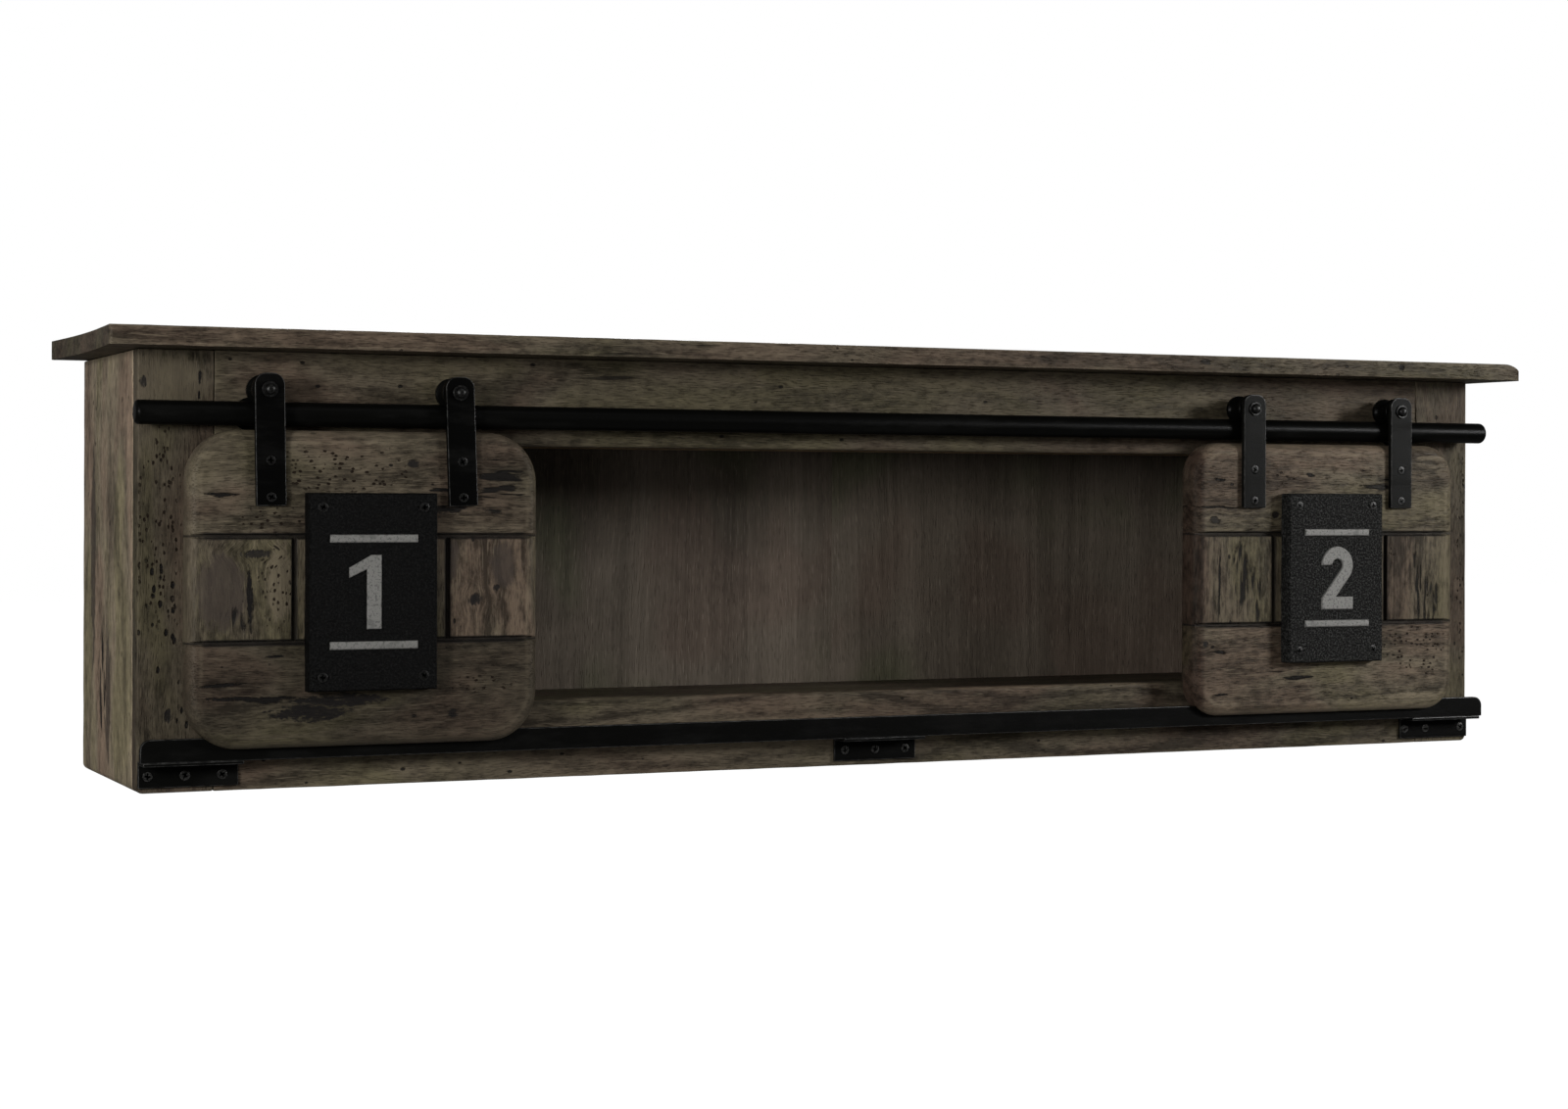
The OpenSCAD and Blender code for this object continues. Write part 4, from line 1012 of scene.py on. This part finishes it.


# The doors


# Painted shade on the left rounding of the right door, where little light falls, from top to bottom
PAINTED_ROUNDING_SHADE = ("shade", 0.3373, 0.18, 0.0118, 2.0)
DOOR_BOARDS = {
    "left_door_top": [
        Board("XZY", seed=21.2, heart=0.27, deep=0.10, light=0.82, contrast=1.1, marks=[
            ("pits", -0.528, 0.277, 0.066, 0.021), ("knot", -0.468, 0.283, 0.005, 0.0035),
            ("crack", -0.636, 0.255, 0.013, 0.0022), ("pits", -0.592, 0.234, 0.030, 0.014),
            ("streaks", -0.388, 0.265, 0.022, 0.026), ("crack", -0.441, 0.260, 0.011, 0.0014),
            ("stain", -0.434, 0.243, 0.016, 0.004)])],
    "left_door_middle": [
        Board("ZXY", seed=22.9, heart=-0.62, deep=0.05, light=0.84, contrast=1.3, marks=[
            ("smoke", -0.637, 0.172, 0.024, 0.032), ("knot", -0.606, 0.205, 0.013, 0.0035),
            ("crack", -0.611, 0.165, 0.0025, 0.026), ("streaks", -0.624, 0.146, 0.008, 0.012),
            ("pale", -0.586, 0.180, 0.012, 0.035), ("pits", -0.588, 0.175, 0.016, 0.034)]),
        Board("ZXY", seed=23.3, heart=-0.5, deep=0.08, light=0.88),
        Board("ZXY", seed=31.9, heart=-0.41, deep=0.03, arch=0.06, contrast=1.5, figure=2.0, marks=[
            ("knot", -0.411, 0.164, 0.006, 0.005), ("knot", -0.391, 0.174, 0.003, 0.003),
            ("smoke", -0.385, 0.195, 0.012, 0.02), ("smoke", -0.432, 0.200, 0.006, 0.018)])],
    "left_door_bottom": [
        Board("XZY", seed=23.5, heart=0.08, deep=0.12, light=0.50, contrast=1.1, marks=[
            ("crack", -0.634, 0.093, 0.016, 0.002), ("crack", -0.589, 0.117, 0.008, 0.0014),
            ("crack", -0.609, 0.081, 0.044, 0.0016), ("stain", -0.563, 0.068, 0.036, 0.007),
            ("stain", -0.532, 0.079, 0.040, 0.0055), ("pits", -0.402, 0.090, 0.030, 0.008),
            ("stain", -0.431, 0.064, 0.005, 0.004)])],
    "right_door_top": [
        Board("XZY", seed=24.1, heart=0.27, deep=0.10, light=1.06, contrast=1.35, marks=[
            PAINTED_ROUNDING_SHADE, ("streaks", 0.556, 0.276, 0.022, 0.014),
            ("pits", 0.443, 0.277, 0.012, 0.007), ("crack", 0.475, 0.278, 0.005, 0.0016),
            ("crack", 0.366, 0.276, 0.006, 0.0016), ("knot", 0.433, 0.239, 0.004, 0.004),
            ("knot", 0.361, 0.234, 0.006, 0.004), ("crack", 0.361, 0.247, 0.024, 0.0013),
            ("pale", 0.625, 0.298, 0.022, 0.003)])],
    "right_door_middle": [
        Board("ZXY", seed=25.8, heart=0.37, deep=0.08, light=0.92, contrast=1.5, marks=[
            PAINTED_ROUNDING_SHADE, ("streaks", 0.391, 0.178, 0.010, 0.034),
            ("streaks", 0.406, 0.156, 0.009, 0.034), ("crack", 0.367, 0.170, 0.0012, 0.034)]),
        Board("ZXY", seed=26.4, heart=0.5, deep=0.08, light=1.0),
        Board("ZXY", seed=27.7, heart=0.61, deep=0.08, light=0.94, contrast=1.5, marks=[
            ("streaks", 0.607, 0.168, 0.008, 0.034), ("streaks", 0.624, 0.153, 0.011, 0.028),
            ("pits", 0.576, 0.203, 0.005, 0.012)])],
    "right_door_bottom": [
        Board("XZY", seed=26.6, heart=0.08, deep=0.12, light=1.12, contrast=1.35, marks=[
            PAINTED_ROUNDING_SHADE, ("crack", 0.367, 0.100, 0.009, 0.0016),
            ("crack", 0.368, 0.058, 0.009, 0.0014), ("crack", 0.461, 0.074, 0.019, 0.0016),
            ("knot", 0.350, 0.110, 0.003, 0.003), ("pits", 0.604, 0.100, 0.040, 0.028),
            ("pale", 0.601, 0.053, 0.034, 0.003)])],
}


def door_slab(span, corner):
    """A door before it is cut into planks, with round corners and round edges."""
    sizes = bpy.context.scene.shelf_sizes
    bm = block(span)
    round_edges(bm, corner, 14, lambda edge: runs_along(edge, Y))
    round_edges(bm, sizes.door_edge, 7, lambda edge: not runs_along(edge, Y) and is_corner(edge))
    return bm


def cut_to(bm, span):
    """Cuts a mesh down to a room and closes the cuts."""
    for axis in (X, Y, Z):
        for point, outward in ((span.low, -axis), (span.high, axis)):
            cut = split(bm, point, outward, drop=True)
            if cut:
                bmesh.ops.holes_fill(bm, edges=cut, sides=0)


def sink_joint(bm, axis, place, front, inward):
    """Sinks a plank's strip beside a joint to the groove's floor and lip. inward points into the plank."""
    sizes = bpy.context.scene.shelf_sizes
    half, depth = sizes.joint_width / 2, sizes.joint_depth
    i = (X, Y, Z).index(axis)
    lip_depth = 0.0007
    for share in (0.72, 1.0, 1.45):
        split(bm, axis * (place + inward * half * share), axis)
    for vert in bm.verts:
        off = (vert.co[i] - place) * inward
        if off < half * 0.8:
            vert.co.y = max(vert.co.y, front + depth)
        elif off < half * 1.1:
            vert.co.y = max(vert.co.y, front + lip_depth)


class SHELF_OT_doors(bpy.types.Operator):
    """Makes the planks of both doors, with a groove over each joint"""
    bl_idname = "shelf.doors"
    bl_label = "Doors"

    def execute(self, context):
        sizes = context.scene.shelf_sizes
        for door, corner in zip(DOORS, (sizes.left_corner, sizes.right_corner)):
            top, bottom = room(f"{door}_top_plank"), room(f"{door}_bottom_plank")
            whole = Span(bottom.low, top.high)
            pieces = solids(f"{door}_middle_planks")
            joints = [("Z", bottom.high.z), ("Z", top.low.z)]
            upright = [("X", piece.high.x) for piece in pieces[:-1]]
            for row, node, spans in (("top", "top_plank", [top]), ("middle", "middle_planks", pieces),
                                     ("bottom", "bottom_plank", [bottom])):
                planks, finishes = [], []
                near = joints + (upright if row == "middle" else [])
                for k, (span, board) in enumerate(zip(spans, DOOR_BOARDS[f"{door}_{row}"])):
                    bm = door_slab(whole, corner)
                    cut_to(bm, Span(span.low - Y, span.high + Y) if row != "middle" else span)
                    planks.append(self.grooved(bm, span, whole))
                    for face in bm.faces:
                        face.material_index = k
                    finishes.append(smoked_wood(f"{door}_{row}_wood_{k}", board, door=(whole, corner, near)))
                set_piece(f"{door}_{row}_worn", gathered(planks), finishes, f"{door}_{node}")
        return {"FINISHED"}

    def grooved(self, bm, span, whole):
        """Sinks the strips along those sides of a plank that meet another."""
        front = whole.low.y
        for axis, i in ((X, 0), (Z, 2)):
            if span.low[i] > whole.low[i] + 1e-4:
                sink_joint(bm, axis, span.low[i], front, 1)
            if span.high[i] < whole.high[i] - 1e-4:
                sink_joint(bm, axis, span.high[i], front, -1)
        return bm


class SHELF_OT_hangers(bpy.types.Operator):
    """Makes the hanger bars with their screws, bolts, washers and nuts, and the rollers"""
    bl_idname = "shelf.hangers"
    bl_label = "Hangers and rollers"

    def execute(self, context):
        gloss = black_steel("roller_steel", 0.20)
        # The right door's bars take a lighter copy of the black steel and the left door's a darker one:
        # painted light from the key lamp on the right, painted shade on the left
        for door, tone in zip(DOORS, (0.35, 2.6)):
            steel, rim = black_steel(f"{door}_bar_steel", 0.36, tone), worn_and_highlit_rim(f"{door}_bar_rim")
            head = worn_head(f"{door}_screw_steel", 0.28)
            screws, hangers = solids(f"{door}_hanger_screws"), solids(f"{door}_hangers")
            bolts = solids(f"{door}_roller_bolts")
            bars = [self.bar(span, bolt, screws) for span, bolt in zip(hangers, bolts)]
            set_piece(f"{door}_bars", gathered(bars), [steel, rim], f"{door}_hangers")
            screw_heads(f"{door}_bar_screws", f"{door}_hanger_screws", head, 0.0002)
            for name, node, meshes, finish in (
                    ("bolts", "roller_bolts", map(self.bolt, bolts, hangers), head),
                    ("spacers", "washers", map(self.ring, solids(f"{door}_washers")), steel),
                    ("hex_nuts", "nuts", map(self.nut, solids(f"{door}_nuts")), steel)):
                set_piece(f"{door}_{name}", gathered(meshes), [finish], f"{door}_{node}")
            for k in "ab":
                spool = self.spool(room(f"{door}_roller_{k}"), room(f"{door}_bush_{k}"), room("track_rod"))
                set_piece(f"{door}_spool_{k}", spool, [gloss], f"{door}_roller_{k}")
        return {"FINISHED"}

    def bar(self, span, bolt, screws):
        """A hanger bar, made upright about its bolt and then leant as its screws lie."""
        sizes = bpy.context.scene.shelf_sizes
        own = [screw for screw in screws if abs(screw.mid.x - bolt.mid.x) < 0.03]
        low = min(own, key=lambda screw: screw.mid.z)
        lean = math.atan2(low.mid.x - bolt.mid.x, bolt.mid.z - low.mid.z)
        half = sizes.bar_width / 2
        length = (bolt.mid.z - span.low.z - half * abs(math.sin(lean))) / math.cos(lean)
        bm = block(Span((-half, span.low.y, -length), (half, span.high.y, sizes.bar_rise)))
        round_edges(bm, sizes.bar_corner, 9, lambda edge: runs_along(edge, Y) and middle(edge).z > 0)
        round_edges(bm, 0.001, 2, lambda edge: runs_along(edge, Y) and is_corner(edge))
        round_edges(bm, sizes.steel_edge, 2, is_corner, 1)
        for screw in own:
            off = math.hypot(screw.mid.x - bolt.mid.x, screw.mid.z - bolt.mid.z)
            countersink(bm, Vector((0, span.low.y, -off)), screw.size.x / 2)
        place = Matrix.Translation(Vector((bolt.mid.x, 0, bolt.mid.z)))
        bm.transform(place @ Matrix.Rotation(-lean, 4, "Y"))
        return bm

    def bolt(self, span, bar):
        """A bolt with a domed head and a collar, whose shank ends past the nut."""
        shank, head, collar, ease, chamfer = 0.004, 0.005, span.size.z / 2, 0.0004, 0.0006
        rise, deep, dome = bar.low.y - span.low.y, span.size.y, head * 0.8
        seat = rise * 0.75
        points = [(0.0, 0.0), (0.0, head * 0.25)] + arc((dome, head - dome), dome, 165, 90, 5)
        points += [(seat, head), (seat, collar - ease), (seat + ease, collar), (rise, collar)]
        points += [(rise, shank), (deep - chamfer, shank), (deep, shank - chamfer), (deep, 0.0)]
        return turned(points, span.front, Y, 32)

    def ring(self, span):
        """A washer with eased rims."""
        r, ease, hole, deep = span.size.x / 2, 0.0004, 0.00402, span.size.y
        points = [(0, hole), (0, r - ease), (ease, r), (deep - ease, r), (deep, r - ease), (deep, hole)]
        return turned(points + points[:1], span.front, Y, 32)

    def nut(self, span):
        """A hexagon nut with eased edges."""
        bm = bmesh.new()
        turn = Matrix.Rotation(math.radians(90), 4, "X") @ Matrix.Rotation(math.radians(30), 4, "Z")
        flat = span.size.z / 2
        bmesh.ops.create_cone(bm, cap_ends=True, segments=6, radius1=flat, radius2=flat,
                              depth=span.size.y, matrix=Matrix.Translation(span.mid) @ turn)
        round_edges(bm, 0.0005, 2, is_corner)
        return bm

    def spool(self, roller, bush, rod):
        """A grooved roller about its bush, with rims rounded at both corners."""
        wide, rim, bore = roller.size.y, roller.size.z / 2, bush.size.z / 2
        off, ease, play = roller.mid.z - rod.mid.z, 0.0006, 0.0003
        groove = rod.size.z / 2 + play
        reach = math.sqrt(groove ** 2 - (off - rim) ** 2)
        half_turn = math.degrees(math.asin(reach / groove))
        points = [(0.0, bore), (0.0, rim - ease), (ease, rim), (wide / 2 - reach - ease, rim)]
        points += arc((wide / 2, off), groove, 270 - half_turn, 270 + half_turn, 16)
        points += [(wide / 2 + reach + ease, rim), (wide - ease, rim), (wide, rim - ease)]
        points += [(wide, bore), (0.0, bore)]
        return turned(points, roller.front, Y, 48)


# The relief on the plates, in metres
PROUD, TALL, STROKE, BAR_LONG, BAR_TALL = 0.002, 0.064, 0.013, 0.078, 0.007


class SHELF_OT_plates(bpy.types.Operator):
    """Makes the cast plates with a plain numeral between two bars, and their screws"""
    bl_idname = "shelf.plates"
    bl_label = "Cast plates"

    def execute(self, context):
        rubbed = rubbed_casting("rubbed_iron")
        # The right door's plate takes a lighter casting than the left door's: partly a grainier, paler
        # casting, partly painted light from the key lamp on the right
        for door, numeral, tone in zip(DOORS, (self.one(), self.two()), (0.28, 1.8)):
            plate = f"{door}_plate"
            cast = rough_casting(f"{door}_cast_iron", tone)
            head = worn_head(f"{plate}_screw_steel", 0.35)
            span = room(plate)
            body = Span(span.low + Y * PROUD, span.high)
            set_piece(f"{door}_casting", self.casting(body, solids(f"{plate}_screws")), [cast], plate)
            relief = [self.raised(outline, body) for outline in (numeral, self.bar(-1), self.bar(1))]
            set_piece(f"{door}_relief", gathered(relief), [rubbed], plate, replaces=False)
            screw_heads(f"{plate}_screw_heads", f"{plate}_screws", head, 0.0003)
        return {"FINISHED"}

    def casting(self, body, screws):
        """A plate with uneven edges, a flat face and countersunk holes."""
        grid, uneven, flat = 0.012, 0.0009, 0.0012
        bm = block(body)
        slice_up(bm, X, body.low.x, body.high.x, grid)
        slice_up(bm, Z, body.low.z, body.high.z, grid)
        round_edges(bm, bpy.context.scene.shelf_sizes.plate_edge, 3,
                    lambda edge: is_corner(edge) and middle(edge).y < body.mid.y)
        wander(bm, body, uneven, body.mid.x, 60.0)
        for vert in bm.verts:
            if vert.co.y < body.low.y + flat:
                vert.co.y = body.low.y
        for screw in screws:
            countersink(bm, Vector((screw.mid.x, body.low.y, screw.mid.z)), screw.size.x / 2)
        return bm

    def raised(self, outline, body):
        """Raises an outline of the plate's face, its rim rounded as castings are."""
        sunk = 0.001
        points = [(body.mid.x + x, body.low.y + sunk, body.mid.z + z) for x, z in outline]
        bm = drawn_out(points, -Y * (PROUD + sunk))
        round_edges(bm, 0.0014, 3, lambda edge: middle(edge).y < body.low.y - PROUD * 0.9)
        return bm

    def bar(self, side):
        """The bar above the numeral, or below it where side is -1."""
        half, z = BAR_LONG / 2, side * (TALL / 2 + 2 * BAR_TALL)
        low, high = z - BAR_TALL / 2, z + BAR_TALL / 2
        return [(-half, low), (half, low), (half, high), (-half, high)]

    def one(self):
        """A plain one: a stem with a flag, drawn about its own middle."""
        half, top = STROKE / 2, TALL / 2
        flag, reach = top * 0.62, half * 3.4
        return [(-half, -top), (half, -top), (half, top), (-half * 0.4, top),
                (-reach, top - flag * 0.55), (-reach, top - flag), (-half, top - flag * 0.62)]

    def two(self):
        """A plain two: most of a ring, a slanted stroke and a foot, drawn about its own middle."""
        r, foot = TALL * 0.3, -TALL / 2
        mid = (0.0, TALL / 2 - r)
        tail = [(-r + STROKE * 1.35, foot + STROKE), (r, foot + STROKE), (r, foot), (-r, foot),
                (-r, foot + STROKE * 0.9)]
        return arc(mid, r, 180, -45, 18) + tail + arc(mid, r - STROKE, -45, 180, 14)


# The stage


# Each lamp's name, place, width in metres and power in watts
LAMPS = (
    ("right_softbox", (2.1, -1.8, 0.85), 0.60, 60.0),
    ("left_softbox", (-1.72, -1.10, 0.46), 0.32, 24.0),
    ("front_softbox", (-2.2, -2.7, 0.45), 1.1, 15.0),
    ("top_softbox", (0.0, -1.6, 2.6), 1.6, 7.0),
    ("back_softbox", (0.7, 2.6, 1.3), 1.2, 45.0))
LIT_POINT = Vector((0, 0, 0.2))


class SHELF_OT_stage(bpy.types.Operator):
    """Makes the camera, the lamps and a pale floor below the hung shelf"""
    bl_idname = "shelf.stage"
    bl_label = "Stage"

    def execute(self, context):
        scene = context.scene
        stage = scene.shelf_stage
        scene.view_settings.view_transform = "Standard"
        self.camera(scene, stage)
        for name, place, width, power in LAMPS:
            self.lamp(name, Vector(place), width, power)
        self.world(scene, stage)
        self.floor(stage)
        return {"FINISHED"}

    def camera(self, scene, stage):
        data = bpy.data.cameras.new("camera")
        data.lens, data.sensor_width, data.shift_y = stage.lens, 36.0, stage.lift
        ahead = Vector((math.sin(stage.heading), math.cos(stage.heading), 0))
        level = Vector((math.cos(stage.heading), -math.sin(stage.heading), 0))
        right = level * math.cos(stage.roll) + Z * math.sin(stage.roll)
        up = Z * math.cos(stage.roll) - level * math.sin(stage.roll)
        turn = Matrix((right, up, -ahead)).transposed().to_4x4()
        scene.camera = linked("camera", data, Matrix.Translation(stage.eye) @ turn)

    def lamp(self, name, place, width, power):
        data = bpy.data.lights.new(name, "AREA")
        data.shape, data.size, data.energy = "SQUARE", width, power
        turn = (LIT_POINT - place).to_track_quat("-Z", "Y").to_matrix().to_4x4()
        linked(name, data, Matrix.Translation(place) @ turn)

    def world(self, scene, stage):
        """An even dim light that the camera sees as white."""
        world = bpy.data.worlds.new("studio")
        world.use_nodes = True
        scene.world = world
        nodes, links = world.node_tree.nodes, world.node_tree.links
        back = nodes["Background"]
        back.inputs["Color"].default_value = (1, 1, 1, 1)
        path = nodes.new("ShaderNodeLightPath")
        seen = nodes.new("ShaderNodeMath")
        seen.operation = "MAXIMUM"
        for k, ray in enumerate(("Is Camera Ray", "Is Transmission Ray")):
            links.new(path.outputs[ray], seen.inputs[k])
        strength = nodes.new("ShaderNodeMapRange")
        strength.inputs["To Min"].default_value = stage.ambient
        strength.inputs["To Max"].default_value = 1.0
        links.new(seen.outputs[0], strength.inputs["Value"])
        links.new(strength.outputs[0], back.inputs["Strength"])

    def floor(self, stage):
        """A pale floor that glows for the camera alone."""
        bm = bmesh.new()
        bmesh.ops.create_grid(bm, x_segments=1, y_segments=1, size=40,
                              matrix=Matrix.Translation(-Z * stage.floor_depth))
        mesh = bpy.data.meshes.new("floor")
        bm.to_mesh(mesh)
        bm.free()
        finish = Finish("pale_floor", Roughness=0.9, Base_Color=(0.30, 0.30, 0.30, 1), Emission_Strength=1.0)
        glow = finish.node("ShaderNodeLightPath", out="Is Camera Ray") * 0.97
        tint = finish.mix(glow, (0, 0, 0), (1, 1, 1))
        finish.tree.links.new(tint.socket, finish.shader.inputs["Emission Color"])
        mesh.materials.append(finish.material)
        linked("floor", mesh)


class SHELF_PT_panel(bpy.types.Panel):
    """Lists the shelf's settings and the steps that dress it"""
    bl_idname = "SHELF_PT_panel"
    bl_label = "Wall shelf"
    bl_space_type = "VIEW_3D"
    bl_region_type = "UI"
    bl_category = "Wall shelf"

    def draw(self, context):
        layout, scene = self.layout, context.scene
        for title, group in (("Colours", scene.shelf_colours), ("Sizes", scene.shelf_sizes),
                             ("Stage", scene.shelf_stage)):
            box = layout.box()
            box.label(text=title)
            for name in group.bl_rna.properties.keys():
                if name not in ("rna_type", "name"):
                    box.prop(group, name)
        for step in STEPS:
            layout.operator(step.bl_idname)


STEPS = (SHELF_OT_stage, SHELF_OT_top_board, SHELF_OT_case, SHELF_OT_rod, SHELF_OT_guide, SHELF_OT_doors,
         SHELF_OT_hangers, SHELF_OT_plates, SHELF_OT_hidden_parts)
GROUPS = (ShelfColours, ShelfSizes, ShelfStage)


def register():
    for item in (*GROUPS, *STEPS, SHELF_PT_panel):
        bpy.utils.register_class(item)
    bpy.types.Scene.shelf_colours = bpy.props.PointerProperty(type=ShelfColours)
    bpy.types.Scene.shelf_sizes = bpy.props.PointerProperty(type=ShelfSizes)
    bpy.types.Scene.shelf_stage = bpy.props.PointerProperty(type=ShelfStage)


def unregister():
    del bpy.types.Scene.shelf_stage, bpy.types.Scene.shelf_sizes, bpy.types.Scene.shelf_colours
    for item in reversed((*GROUPS, *STEPS, SHELF_PT_panel)):
        bpy.utils.unregister_class(item)


def main():
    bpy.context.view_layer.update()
    register()
    for step in STEPS:
        group, name = step.bl_idname.split(".")
        getattr(getattr(bpy.ops, group), name)()


if __name__ == "__main__":
    main()
